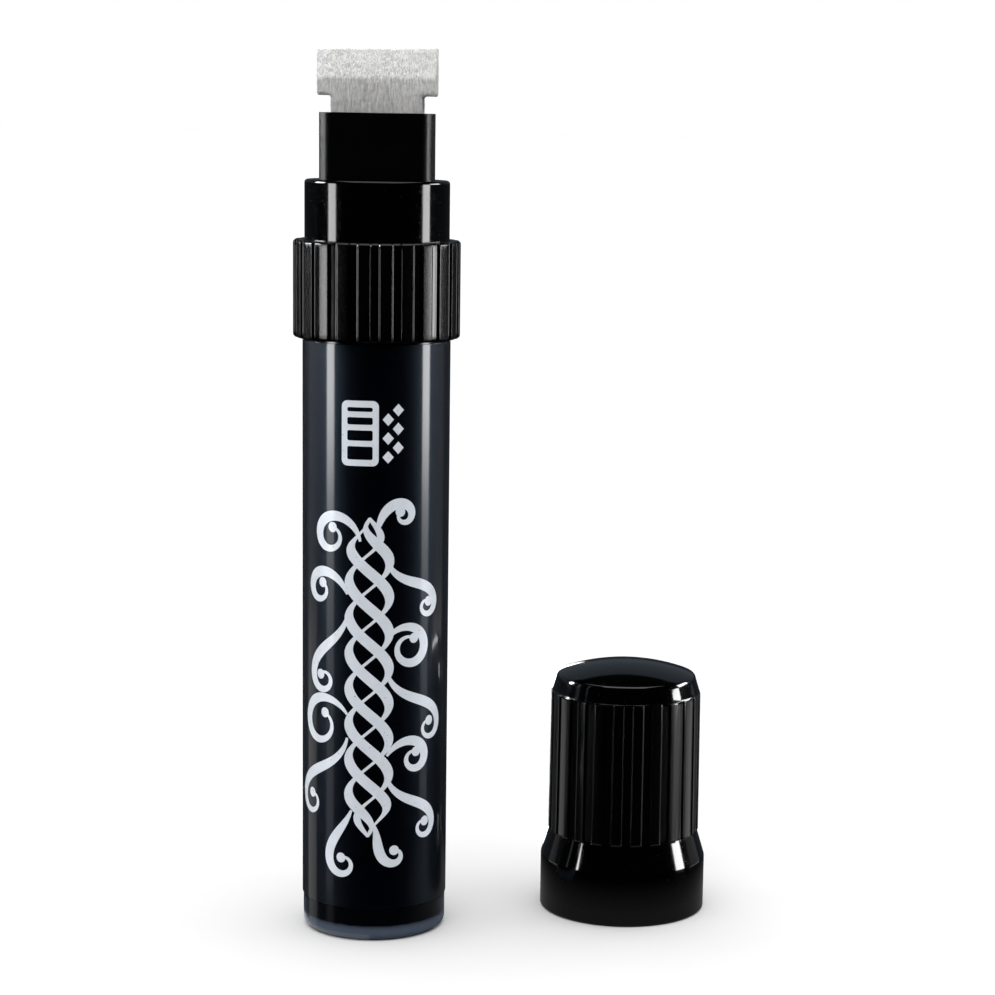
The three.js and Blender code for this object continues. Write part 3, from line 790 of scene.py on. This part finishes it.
# Curls off the braid: start across and up in millimetres, heading, length, first and last bend.
CURLS = (
    ((1.6, 70.5), 80.0, 14.5, -4.0, -62.0),
    ((-1.2, 69.0), 100.0, 21.0, 10.0, 36.0),
    ((3.4, 66.0), -84.0, 20.0, 16.0, -62.0),
    ((-3.4, 60.0), 112.0, 18.0, 8.0, 44.0),
    ((-3.4, 56.5), 262.0, 23.0, -10.0, 50.0),
    ((3.4, 52.5), 62.0, 22.0, -14.0, -30.0),
    ((3.4, 47.0), -84.0, 23.0, 13.0, -50.0),
    ((-3.4, 39.5), 122.0, 24.0, 10.0, 26.0),
    ((-3.4, 35.5), 264.0, 25.0, -11.0, 44.0),
    ((3.4, 32.5), 60.0, 18.0, -10.0, -46.0),
    ((3.4, 29.0), -84.0, 21.0, 14.0, -56.0),
    ((-2.6, 23.0), 250.0, 19.0, -6.0, 50.0),
    ((1.3, 20.5), 290.0, 12.0, -8.0, 66.0),
)


class MARKER_OT_ornament(bpy.types.Operator):
    """Silver braid with curls on the front of the film"""

    bl_idname = "marker.ornament"
    bl_label = "Silver Ornament"

    def execute(self, context):
        size, finish = context.scene.marker_sizes, context.scene.marker_finishes
        pen = context.scene.marker_ornament
        radius = size.sleeve_radius
        low, high, middle = 18.5 * MM, 73.0 * MM, 0.3 * MM
        drawn = []
        for strand in range(3):
            path = []
            for i in range(241):
                share = i / 240
                swing = pen.reach * math.sin(math.pi * min(0.5, 4.0 * share, 4.0 * (1 - share)))
                phase = 2 * math.pi * (pen.turns * share + strand / 3)
                path.append((middle + swing * math.sin(phase), low + (high - low) * share))
            halves = pen_halves(path, pen.pen_angle, pen.broad, pen.thin)
            for i in range(241):
                halves[i] *= min(1.0, 0.25 + 9 * i / 240, 0.25 + 9 * (240 - i) / 240)
            drawn.append((path, halves))
        for curl in CURLS:
            path = scroll(*curl)
            drawn.append((path, swell_halves(len(path), pen.broad * 0.95, pen.thin)))
            drawn.append(dot_stroke(path[-1], 0.85 * MM))
        strokes = []
        for i, (path, halves) in enumerate(drawn):
            strokes.append(ribbon(path, halves, radius, (0.012 + 0.0008 * i) * MM))
        ornament = joined(strokes, "silver_ornament")
        settle(ornament)
        tidy_shell(ornament, 1e-9)
        with_modifier(ornament, "SOLIDIFY", thickness=0.012 * MM, offset=-1.0)
        smooth(ornament, 40)
        silver = silver_ink("silver_print", tuple(finish.print_silver))
        dress(ornament, silver, "barrel", "silver_print")
        return {"FINISHED"}


class MARKER_OT_badge(bpy.types.Operator):
    """Silver badge with a ladder of pen widths, and lozenges beside it"""

    bl_idname = "marker.badge"
    bl_label = "Silver Badge"

    def execute(self, context):
        radius = context.scene.marker_sizes.sleeve_radius
        plate = self.flat_plate("silver_badge", 6.3 * MM, 10.8 * MM, 1.0 * MM, (-1.35 * MM, 87.0 * MM))
        heights = (0.7, 1.2, 1.7, 2.2)
        top = 91.3 * MM
        for tall in heights:
            middle = (-1.35 * MM, top - tall * MM / 2)
            window = self.flat_plate("window", 4.3 * MM, tall * MM, 0.3 * MM, middle, 0.2 * MM)
            cut_with(plate, window)
            top -= (tall + 0.95) * MM
        pick(plate)
        bpy.ops.object.mode_set(mode="EDIT")
        for i in range(18):
            bpy.ops.mesh.select_all(action="SELECT")
            bpy.ops.mesh.bisect(plane_co=((-4.5 + 0.35 * (i + 0.5)) * MM, 0, 0), plane_no=(1, 0, 0))
        bpy.ops.object.mode_set(mode="OBJECT")
        for point in plate.data.vertices:
            point.co = wrap(point.co, radius)
        strokes = [plate]
        for i, (path, halves) in enumerate(self.lozenges()):
            stroke = ribbon(path, halves, radius, (0.014 + 0.0008 * i) * MM)
            with_modifier(stroke, "SOLIDIFY", thickness=0.012 * MM, offset=-1.0)
            strokes.append(stroke)
        badge = joined(strokes, "silver_badge")
        settle(badge)
        smooth(badge, 40)
        dress(badge, bpy.data.materials["silver_print"], "barrel", "silver_print")
        return {"FINISHED"}

    def flat_plate(self, name, width, height, corner, centre, thickness=0.014 * MM):
        """A thin upright plate with rounded corners, just proud of the drawing's plane."""
        clear_selection()
        bpy.ops.mesh.primitive_cube_add(size=1)
        plate = bpy.context.object
        plate.name = name
        plate.scale = (width, thickness, height)
        plate.location = (centre[0], -0.008 * MM, centre[1])
        settle(plate)
        bpy.ops.object.mode_set(mode="EDIT")
        bpy.ops.mesh.select_mode(type="EDGE")
        bpy.ops.mesh.select_all(action="DESELECT")
        bpy.ops.object.mode_set(mode="OBJECT")
        points = plate.data.vertices
        for edge in plate.data.edges:
            a, b = (points[i].co for i in edge.vertices)
            edge.select = abs(a.y - b.y) > 0.005 * MM
        bpy.ops.object.mode_set(mode="EDIT")
        bpy.ops.mesh.bevel(offset=corner, segments=5)
        bpy.ops.object.mode_set(mode="OBJECT")
        return plate

    def lozenges(self):
        """The pen-width lozenges, stepping left and right as on a practice sheet."""
        drawn = []
        for i in range(6):
            across = (3.35 if i % 2 else 5.05) * MM
            drawn.append(lozenge_stroke((across, (90.9 - 1.56 * i) * MM), 1.05 * MM, 0.95 * MM))
        return drawn


# ---- Head: collar, neck, holder and nib ----------------------------------------------------------


class MARKER_OT_collar(bpy.types.Operator):
    """Ribbed grip collar that screws the head to the tube"""

    bl_idname = "marker.collar"
    bl_label = "Grip Collar"

    def execute(self, context):
        size, finish = context.scene.marker_sizes, context.scene.marker_finishes
        bottom, top = lowest("grip_collar").z, highest("grip_collar").z
        crest, groove = size.collar_radius, size.collar_radius - size.collar_groove
        edge = 0.35 * MM
        lip_bottom, chamber_bottom = top - 1.5 * MM, top - 5.7 * MM
        outline = [
            (crest - edge, bottom),
            (crest, bottom + edge),
            (crest, bottom + 1.2 * MM),
            *[(crest, bottom + (top - bottom) * share) for share in (0.25, 0.5, 0.75)],
            (crest, top - 1.2 * MM),
            (crest, top - edge),
            (crest - edge, top),
            (12.3 * MM, top),
            (12.3 * MM, lip_bottom),
            (13.1 * MM, lip_bottom),
            (13.1 * MM, chamber_bottom),
            (size.collar_bore, chamber_bottom),
            (size.collar_bore, bottom),
        ]
        collar = turned_piece("grip_collar_ribbed", outline, sides=360, turn=math.radians(COLLAR_RIB_TURN))
        depth = groove / crest
        press_grooves(
            collar, (0.0, 0.0), COLLAR_RIB_TURN, RIB_PITCH, COLLAR_HALF_RIB, bottom, top, 13.5 * MM, depth
        )
        round_edges(collar, 0.11 * MM, segments=2, sharper_than=32)
        root, start = size.collar_bore + 0.1 * MM, bottom + 4.1 * MM
        ridge = thread_ridge("collar_thread", root, 11.95 * MM, start, THREAD_PITCH, COLLAR_TURNS_OF_THREAD)
        round_edges(ridge, 0.1 * MM, segments=2)
        collar = joined([collar, ridge], "grip_collar_ribbed")
        smooth(collar, 40)
        ribs = ribbed_plastic(
            "collar_plastic",
            tuple(finish.plastic),
            0.16,
            finish.grain,
            (0.0, 0.0),
            groove + 0.05 * MM,
            crest - 0.05 * MM,
        )
        dress(collar, ribs, "collar", "grain_black", "grip_collar")
        return {"FINISHED"}


class MARKER_OT_neck(bpy.types.Operator):
    """Round neck with its flange, pocket for the holder and skirt in the tube's mouth"""

    bl_idname = "marker.neck"
    bl_label = "Neck"

    def execute(self, context):
        size, finish = context.scene.marker_sizes, context.scene.marker_finishes
        bottom, top = lowest("neck").z, highest("neck").z
        web, pocket_floor = top - 11.4 * MM, top - 9.6 * MM
        outline = [
            (2.6 * MM, web),
            (8.9 * MM, web),
            (8.9 * MM, bottom),
            (10.1 * MM, bottom),
            (10.1 * MM, top - 14.5 * MM),
            (13.0 * MM, top - 14.5 * MM),
            (13.0 * MM, top - 11.7 * MM),
            (size.neck_radius, top - 11.7 * MM),
            (size.neck_radius, top - 5.0 * MM),
            *arc((size.neck_radius - 0.55 * MM, top - 0.55 * MM), 0.55 * MM, 0, 90, 4),
            (2.6 * MM, top),
        ]
        neck = turned_piece("neck_turned", outline, sides=160)
        pocket = rounded_block("pocket", 19.15 * MM, 10.4 * MM, pocket_floor, top + 1 * MM, 2.4 * MM)
        cut_with(neck, pocket)
        round_edges(neck, 0.12 * MM, segments=2, sharper_than=50)
        smooth(neck, 38)
        gloss = polished_plastic("neck_plastic", tuple(finish.plastic), finish.gloss)
        dress(neck, gloss, "head", "gloss_black", "neck")
        return {"FINISHED"}


class MARKER_OT_holder(bpy.types.Operator):
    """Upright block that carries the nib"""

    bl_idname = "marker.holder"
    bl_label = "Nib Holder"

    def execute(self, context):
        size, finish = context.scene.marker_sizes, context.scene.marker_finishes
        (x0, y0, bottom), (x1, y1, top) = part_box("nib_holder")
        holder = rounded_block("nib_holder_block", x1 - x0, y1 - y0, bottom, top, size.holder_corner)
        slot = rounded_block("slot", 15.7 * MM, 5.5 * MM, bottom - 1 * MM, top + 1 * MM, 0.35 * MM, 4)
        cut_with(holder, slot)
        round_edges(holder, 0.38 * MM, segments=4, sharper_than=50)
        smooth(holder, 38)
        satin = satin_plastic("holder_plastic", tuple(finish.plastic), 0.32)
        dress(holder, satin, "head", "satin_black", "nib_holder")
        return {"FINISHED"}


class MARKER_OT_nib(bpy.types.Operator):
    """Broad felt nib with a chisel edge, on a narrower stem"""

    bl_idname = "marker.nib"
    bl_label = "Felt Nib"

    def execute(self, context):
        size, finish = context.scene.marker_sizes, context.scene.marker_finishes
        (x0, y0, bottom), (x1, y1, top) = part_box("nib")
        width, depth = x1 - x0, y1 - y0
        neck_top, chisel = 141.7 * MM, 144.5 * MM
        clear_selection()
        bpy.ops.mesh.primitive_cube_add(size=1, location=(0, 0, (bottom + neck_top) / 2))
        nib = bpy.context.object
        nib.name = "felt_nib"
        nib.scale = (size.nib_stem, depth, neck_top - bottom)
        settle(nib)
        select_points(nib, lambda co: co.z > neck_top - 0.1 * MM)
        bpy.ops.mesh.extrude_region_move(TRANSFORM_OT_translate={"value": (0, 0, 0)})
        flare = (width - 0.30 * MM) / size.nib_stem
        bpy.ops.transform.resize(value=(flare, 1, 1), center_override=(0, 0, neck_top))
        bpy.ops.mesh.extrude_region_move(TRANSFORM_OT_translate={"value": (0, 0, chisel - neck_top)})
        bpy.ops.mesh.extrude_region_move(TRANSFORM_OT_translate={"value": (0, 0, top - chisel)})
        bpy.ops.transform.resize(
            value=(width / (width - 0.30 * MM), size.nib_edge / depth, 1), center_override=(0, 0, top)
        )
        bpy.ops.object.mode_set(mode="OBJECT")
        select_points(nib, lambda co: co.z > top - 0.1 * MM and co.x < 0)
        bpy.ops.transform.translate(value=(0, 0, -0.30 * MM))
        bpy.ops.object.mode_set(mode="OBJECT")
        tidy_shell(nib, 1e-7)
        round_edges(nib, 0.22 * MM, segments=2, sharper_than=50)
        with_modifier(nib, "REMESH", mode="VOXEL", voxel_size=0.26 * MM)
        lumps = bpy.data.textures.new("felt_lumps", "CLOUDS")
        lumps.noise_scale = 1.1 * MM
        lumps.noise_depth = 3
        with_modifier(
            nib, "DISPLACE", texture=lumps, texture_coords="LOCAL", strength=0.14 * MM, mid_level=0.62
        )
        smooth(nib, 180)
        dress(nib, felt("pressed_felt", tuple(finish.felt)), "nib", "nib_felt", "nib")
        return {"FINISHED"}


class MARKER_OT_valve(bpy.types.Operator):
    """Finishes of the parts inside the head and of the mixing ball"""

    bl_idname = "marker.valve"
    bl_label = "Valve and Seals"

    def execute(self, context):
        refinish("mouth_gasket", soft_rubber("gasket_rubber", (0.012, 0.012, 0.013)))
        refinish("valve_seal", soft_rubber("seal_rubber", (0.014, 0.013, 0.013)))
        refinish("valve_stem", satin_plastic("stem_plastic", (0.42, 0.42, 0.40), 0.38))
        refinish("spring_cage", satin_plastic("cage_plastic", (0.36, 0.36, 0.35), 0.40))
        refinish("mixing_ball", drawn_steel("ball_steel", (0.62, 0.61, 0.60)))
        self.spring(drawn_steel("spring_steel", (0.66, 0.65, 0.63)))
        return {"FINISHED"}

    def spring(self, steel):
        """The coil: a wire's section wound up the axis."""
        bottom, top = lowest("valve_spring").z, highest("valve_spring").z
        wire, mean, turns = 0.35 * MM, 3.0 * MM, 5
        clear_selection()
        bpy.ops.mesh.primitive_circle_add(vertices=12, radius=wire, location=(0, -mean, bottom + wire))
        coil = bpy.context.object
        coil.name = "valve_coil"
        coil.rotation_euler.y = math.radians(90)
        settle(coil)
        steps = 40 * turns
        with_modifier(
            coil,
            "SCREW",
            axis="Z",
            angle=math.radians(360) * turns,
            screw_offset=top - bottom - 2 * wire,
            steps=steps,
            render_steps=steps,
            use_merge_vertices=False,
        )
        pick(coil)
        bpy.ops.object.mode_set(mode="EDIT")
        bpy.ops.mesh.select_all(action="SELECT")
        bpy.ops.mesh.fill_holes(sides=12)
        bpy.ops.object.mode_set(mode="OBJECT")
        tidy_shell(coil)
        smooth(coil, 50)
        dress(coil, steel, "head", "steel", "valve_spring")
        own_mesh(coil)


# ---- Cap -----------------------------------------------------------------------------------------


class MARKER_OT_cap(bpy.types.Operator):
    """Cap shell with a plain foot, a ribbed grip and a low domed crown"""

    bl_idname = "marker.cap"
    bl_label = "Cap Shell"

    def execute(self, context):
        size, finish = context.scene.marker_sizes, context.scene.marker_finishes
        top = highest("cap_shell").z
        crown_rise, edge_radius = 2.2 * MM, 12.3 * MM
        edge = top - crown_rise
        rib_top = edge - 2.9 * MM
        foot, flare_top = 9.5 * MM, 14.4 * MM
        rib_low, rib_high = size.cap_rib, size.cap_rib - 0.2 * MM
        reach = edge_radius - 0.3 * MM
        sphere = (reach**2 + crown_rise**2) / (2 * crown_rise)
        dome = []
        for i in range(1, 12):
            radius = reach * (1 - i / 12)
            drop = sphere - math.sqrt(sphere**2 - radius**2)
            dome.append((radius, top - drop))
        ribs, rib_end = [], rib_top - 0.5 * MM
        for i in range(7):
            ribs.append((rib_low + (rib_high - rib_low) * i / 6, flare_top + (rib_end - flare_top) * i / 6))
        outline = [
            (12.45 * MM, 0.0),
            (size.cap_skirt - 0.3 * MM, 0.0),
            (size.cap_skirt, 0.3 * MM),
            (size.cap_skirt, foot - 0.15 * MM),
            (size.cap_skirt - 0.06 * MM, foot + 0.12 * MM),
            (rib_low - 0.22 * MM, flare_top - 0.35 * MM),
            *ribs,
            (rib_high - 0.1 * MM, rib_top - 0.1 * MM),
            (12.98 * MM, rib_top),
            (12.86 * MM, rib_top + 0.5 * MM),
            (edge_radius + 0.05 * MM, edge - 0.75 * MM),
            (edge_radius - 0.08 * MM, edge - 0.3 * MM),
            (reach, edge),
            *dome,
        ]
        inside = [(12.45 * MM, 11.4 * MM), (11.9 * MM, 11.4 * MM), (11.9 * MM, 41.2 * MM)]
        whole = list(reversed(dome)) + list(reversed(outline[: -len(dome)])) + inside
        shell = turned_piece(
            "cap_shell_ribbed",
            whole,
            sides=360,
            centre=CAP_CENTRE,
            turn=math.radians(CAP_RIB_TURN + 0.5),
            filled=True,
        )
        lower, upper = flare_top - 0.2 * MM, rib_top - 0.3 * MM
        depth = 1 - size.cap_groove / rib_low
        press_grooves(
            shell, CAP_CENTRE, CAP_RIB_TURN, RIB_PITCH, CAP_HALF_RIB, lower, upper, 12.8 * MM, depth
        )
        round_edges(shell, 0.10 * MM, segments=2, sharper_than=26)
        smooth(shell, 40)
        black = tuple(finish.plastic)
        gloss = polished_plastic("cap_plastic", black, finish.gloss, CAP_CENTRE, (lower, upper))
        polish = gloss.node_tree.nodes["Principled BSDF"]
        polish.inputs["Coat Weight"].default_value = 1.0
        polish.inputs["Coat Roughness"].default_value = 0.07
        polish.inputs["Coat IOR"].default_value = 1.49
        dress(shell, gloss, "cap", "gloss_black", "cap_shell")
        return {"FINISHED"}


class MARKER_OT_cap_inside(bpy.types.Operator):
    """Liner cup and seal ring inside the cap"""

    bl_idname = "marker.cap_inside"
    bl_label = "Cap Liner and Seal"

    def execute(self, context):
        low, high = lowest("cap_liner").z, highest("cap_liner").z
        liner = turned_piece(
            "cap_liner_cup",
            [(11.7 * MM, high), (11.7 * MM, low), (11.05 * MM, low), (11.05 * MM, high - 0.65 * MM)],
            sides=128,
            centre=CAP_CENTRE,
            filled=True,
        )
        round_edges(liner, 0.15 * MM, segments=2, sharper_than=50)
        smooth(liner)
        milky = satin_plastic("liner_plastic", (0.33, 0.33, 0.325), 0.36)
        dress(liner, milky, "cap", "inner_plastic", "cap_liner")
        low, high = lowest("cap_seal").z, highest("cap_seal").z
        seal = turned_piece(
            "cap_seal_ring",
            [(10.85 * MM, low), (12.35 * MM, low), (12.35 * MM, high), (10.85 * MM, high)],
            sides=128,
            centre=CAP_CENTRE,
        )
        round_edges(seal, 0.3 * MM, segments=4, sharper_than=50)
        smooth(seal)
        dress(seal, soft_rubber("cap_seal_rubber", (0.016, 0.015, 0.015)), "cap", "seal_rubber", "cap_seal")
        return {"FINISHED"}


# ---- Stage ---------------------------------------------------------------------------------------


class MARKER_OT_stage(bpy.types.Operator):
    """Pale floor, soft lights and the camera"""

    bl_idname = "marker.stage"
    bl_label = "Stage"

    def execute(self, context):
        stage = context.scene.marker_stage
        self.floor()
        self.lights(stage)
        self.camera(stage)
        context.scene.view_settings.view_transform = "Standard"
        return {"FINISHED"}

    def floor(self):
        material, tree, shader = new_finish("floor_paint")
        speckle = noise(tree, object_place(tree), 60.0, 3.0)
        paint = mix_tones(tree, speckle, (0.405, 0.405, 0.405), (0.42, 0.42, 0.42))
        tree.links.new(paint, shader.inputs["Base Color"])
        shader.inputs["Roughness"].default_value = 0.9
        shader.inputs["Specular IOR Level"].default_value = 0.0
        far = self.floor_plate("floor_far", 24.0, (0.0, 0.0))
        far.visible_glossy = False
        far.visible_diffuse = False
        parts = [far]
        for name, centre, reach in (
            ("floor_by_marker", (0.0, 0.0), 15.0 * MM),
            ("floor_by_cap", CAP_CENTRE, 17.0 * MM),
        ):
            cut_with(far, self.floor_plate("hole", reach, centre, 20.0 * MM))
            parts.append(self.floor_plate(name, reach, centre))
        for part in parts:
            part.data.materials.append(material)

    def floor_plate(self, name, radius, centre, above=0.0):
        """A round plate whose top is the floor."""
        clear_selection()
        depth = 30.0 * MM + above
        bpy.ops.mesh.primitive_cylinder_add(
            vertices=96, radius=radius, depth=depth, location=(*centre, above - 0.01 * MM - depth / 2)
        )
        plate = bpy.context.object
        plate.name = name
        settle(plate)
        return plate

    def glow(self, name, stops, low, high, shade, centre=None):
        """A light surface whose brightness follows its height, or its distance from an upright axis."""
        material = bpy.data.materials.new(name)
        material.use_nodes = True
        tree = material.node_tree
        tree.nodes.clear()
        place = height_above(tree) if centre is None else out_from(tree, centre)
        share = spread(tree, place, low, high, 0.0, 1.0)
        ramp = add_node(tree, "ShaderNodeValToRGB", {"Fac": share})
        elements = ramp.color_ramp.elements
        while len(elements) > 1:
            elements.remove(elements[-1])
        elements[0].position, elements[0].color = stops[0][0], (*[stops[0][1]] * 3, 1)
        for place, level in stops[1:]:
            elements.new(place).color = (level, level, level, 1)
        emission = add_node(tree, "ShaderNodeEmission", {"Color": (*shade[0], 1.0)})
        power = math_node(tree, "MULTIPLY", ramp.outputs["Color"], shade[1])
        tree.links.new(power, emission.inputs["Strength"])
        output = tree.nodes.new("ShaderNodeOutputMaterial")
        tree.links.new(emission.outputs[0], output.inputs["Surface"])
        return material

    def level(self, name, height, side, material, centre):
        """A level light surface."""
        clear_selection()
        bpy.ops.mesh.primitive_plane_add(size=side, location=(*centre, height))
        part = bpy.context.object
        part.name = name
        settle(part)
        part.data.materials.append(material)
        part.visible_camera = False
        part.visible_shadow = False
        return part

    def screen(self, name, azimuth, distance, width, low, high, material, centre=(0.0, 0.0)):
        """An upright light surface that faces the centre; azimuth runs from the front to the right."""
        clear_selection()
        a = math.radians(azimuth)
        bpy.ops.mesh.primitive_plane_add(size=1)
        part = bpy.context.object
        part.name = name
        part.scale = (width, high - low, 1)
        part.rotation_euler = (math.radians(90), 0, a)
        x, y = centre[0] + distance * math.sin(a), centre[1] - distance * math.cos(a)
        part.location = (x, y, (low + high) / 2)
        settle(part)
        part.data.materials.append(material)
        part.visible_camera = False
        part.visible_shadow = False
        return part

    def lights(self, stage):
        white, cool = (1.0, 1.0, 1.0), (0.70, 0.84, 1.0)
        low, high = -0.24, 0.20
        levels = (
            (-0.24, 0.04),
            (-0.138, 0.05),
            (-0.069, 0.14),
            (-0.040, 0.30),
            (-0.030, 0.50),
            (-0.011, 0.76),
            (0.008, 1.0),
        )
        stops = [((z - low) / (high - low), level) for z, level in levels]
        strip = self.glow("strip_glow", stops, low, high, (white, stage.strip_light))
        self.screen("strip_left", -69.0, 0.8, 0.20, low, high, strip)
        self.screen("strip_right", 89.5, 0.8, 0.20, low, high, strip)
        even = [(0.0, 1.0), (1.0, 1.0)]
        hidden = []
        # Seen in reflections only: high strips for the cap's sloping foot and band, low panels at the sides,
        # panels all round the back, a strip behind, one overhead and a faint sheen on the floor by the cap.
        high_left = self.glow("high_left_glow", even, 0.2, 0.5, (white, 42.0))
        high_right = self.glow("high_right_glow", even, 0.2, 0.5, (white, 15.0))
        hidden.append(self.screen("high_left", -97.0, 0.8, 0.30, 0.23, 0.46, high_left, CAP_CENTRE))
        hidden.append(self.screen("high_right", 112.0, 0.8, 0.36, 0.23, 0.46, high_right, CAP_CENTRE))
        dim_above = [(0.0, 1.0), (0.42, 1.0), (0.56, 0.25), (1.0, 0.25)]
        low_side = self.glow("low_side_glow", dim_above, -0.30, 0.06, (white, 0.50))
        hidden.append(self.screen("low_left", -112.0, 0.9, 0.40, -0.30, 0.06, low_side))
        hidden.append(self.screen("low_right", 122.0, 0.9, 0.40, -0.30, 0.06, low_side))
        dim_below = [(0.0, 0.3), (0.49, 0.3), (0.53, 1.0), (1.0, 1.0)]
        back = self.glow("back_glow", dim_below, -0.6, 0.9, (cool, 0.10))
        for i, azimuth in enumerate((118, 149, 180, 211, 242)):
            hidden.append(self.screen(f"back_panel_{i}", azimuth, 1.1, 0.62, -0.6, 0.9, back))
        rear = self.glow("rear_glow", even, -0.6, 0.10, (white, 5.0))
        hidden.append(self.screen("rear_strip", 186.4, 1.05, 0.13, -0.6, 0.10, rear))
        overhead = self.glow("overhead_glow", even, 0.8, 1.0, (white, 1.2))
        hidden.append(self.level("overhead_panel", 0.9, 0.9, overhead, (0.02, 0.0)))
        fading = [(0.0, 1.0), (0.5, 1.0), (1.0, 0.0)]
        faint = self.glow("floor_glow", fading, 0.0, 0.042, (white, 0.085), CAP_CENTRE)
        hidden.append(self.level("floor_sheen", 0.0, 0.085, faint, CAP_CENTRE))
        for part in hidden:
            part.visible_diffuse = False
        clear_selection()
        bpy.ops.object.light_add(type="SUN", location=(0, 0, 1.0))
        top = bpy.context.object
        top.name = "top_light"
        top.data.energy = stage.top_light
        top.data.angle = math.radians(110)
        top.visible_glossy = False
        bpy.ops.object.light_add(type="AREA", location=(-0.25, -1.1, 0.75))
        front = bpy.context.object
        front.name = "front_light"
        front.data.size = 0.7
        front.data.energy = stage.front_light
        front.rotation_euler = (Vector((0, 0, 0.06)) - front.location).to_track_quat("-Z", "Y").to_euler()
        front.visible_glossy = False
        world = bpy.data.worlds.new("white_surround")
        world.use_nodes = True
        world.node_tree.nodes["Background"].inputs["Color"].default_value = (1.0, 1.0, 1.0, 1.0)
        world.node_tree.nodes["Background"].inputs["Strength"].default_value = 1.0
        world.cycles_visibility.glossy = False
        world.cycles_visibility.diffuse = False
        bpy.context.scene.world = world

    def camera(self, stage):
        bpy.ops.object.camera_add()
        camera = bpy.context.object
        camera.name = "camera"
        yaw, pitch, roll = stage.yaw, stage.pitch, stage.roll
        right = Vector((math.cos(yaw), -math.sin(yaw), 0))
        ahead = Vector((math.sin(yaw) * math.cos(pitch), math.cos(yaw) * math.cos(pitch), -math.sin(pitch)))
        up = right.cross(ahead)
        tilted_right = math.cos(roll) * right + math.sin(roll) * up
        tilted_up = math.cos(roll) * up - math.sin(roll) * right
        turn = Matrix((tilted_right, tilted_up, -ahead)).transposed().to_4x4()
        camera.matrix_world = Matrix.Translation(Vector(stage.eye)) @ turn
        camera.data.sensor_width = 36.0
        camera.data.lens = stage.lens
        camera.data.shift_x = stage.shift_right
        camera.data.shift_y = stage.shift_up
        camera.data.clip_start = 0.01
        camera.data.clip_end = 100.0
        bpy.context.scene.camera = camera


# ---- Panel, registration and the run -------------------------------------------------------------

OPERATORS = (
    MARKER_OT_stage,
    MARKER_OT_tube,
    MARKER_OT_sleeve,
    MARKER_OT_ornament,
    MARKER_OT_badge,
    MARKER_OT_collar,
    MARKER_OT_neck,
    MARKER_OT_holder,
    MARKER_OT_nib,
    MARKER_OT_valve,
    MARKER_OT_cap,
    MARKER_OT_cap_inside,
)


class MARKER_PT_pieces(bpy.types.Panel):
    """Buttons for the marker's pieces and its sizes"""

    bl_label = "Calligraphy Marker"
    bl_idname = "MARKER_PT_pieces"
    bl_space_type = "VIEW_3D"
    bl_region_type = "UI"
    bl_category = "Marker"

    def draw(self, context):
        for operator in OPERATORS:
            self.layout.operator(operator.bl_idname)
        for group_name in GROUPS:
            group = getattr(context.scene, group_name)
            box = self.layout.box()
            for key in group.__annotations__:
                box.prop(group, key)


GROUPS = {
    "marker_sizes": MarkerSizes,
    "marker_finishes": MarkerFinishes,
    "marker_ornament": MarkerOrnament,
    "marker_stage": MarkerStage,
}


def register():
    for group in GROUPS.values():
        bpy.utils.register_class(group)
    for name, group in GROUPS.items():
        setattr(bpy.types.Scene, name, PointerProperty(type=group))
    for operator in OPERATORS:
        bpy.utils.register_class(operator)
    bpy.utils.register_class(MARKER_PT_pieces)


def unregister():
    bpy.utils.unregister_class(MARKER_PT_pieces)
    for operator in reversed(OPERATORS):
        bpy.utils.unregister_class(operator)
    for name in GROUPS:
        delattr(bpy.types.Scene, name)
    for group in reversed(list(GROUPS.values())):
        bpy.utils.unregister_class(group)


def main():
    register()
    for operator in OPERATORS:
        family, action = operator.bl_idname.split(".")
        getattr(getattr(bpy.ops, family), action)()
    clear_selection()


if __name__ == "__main__":
    main()
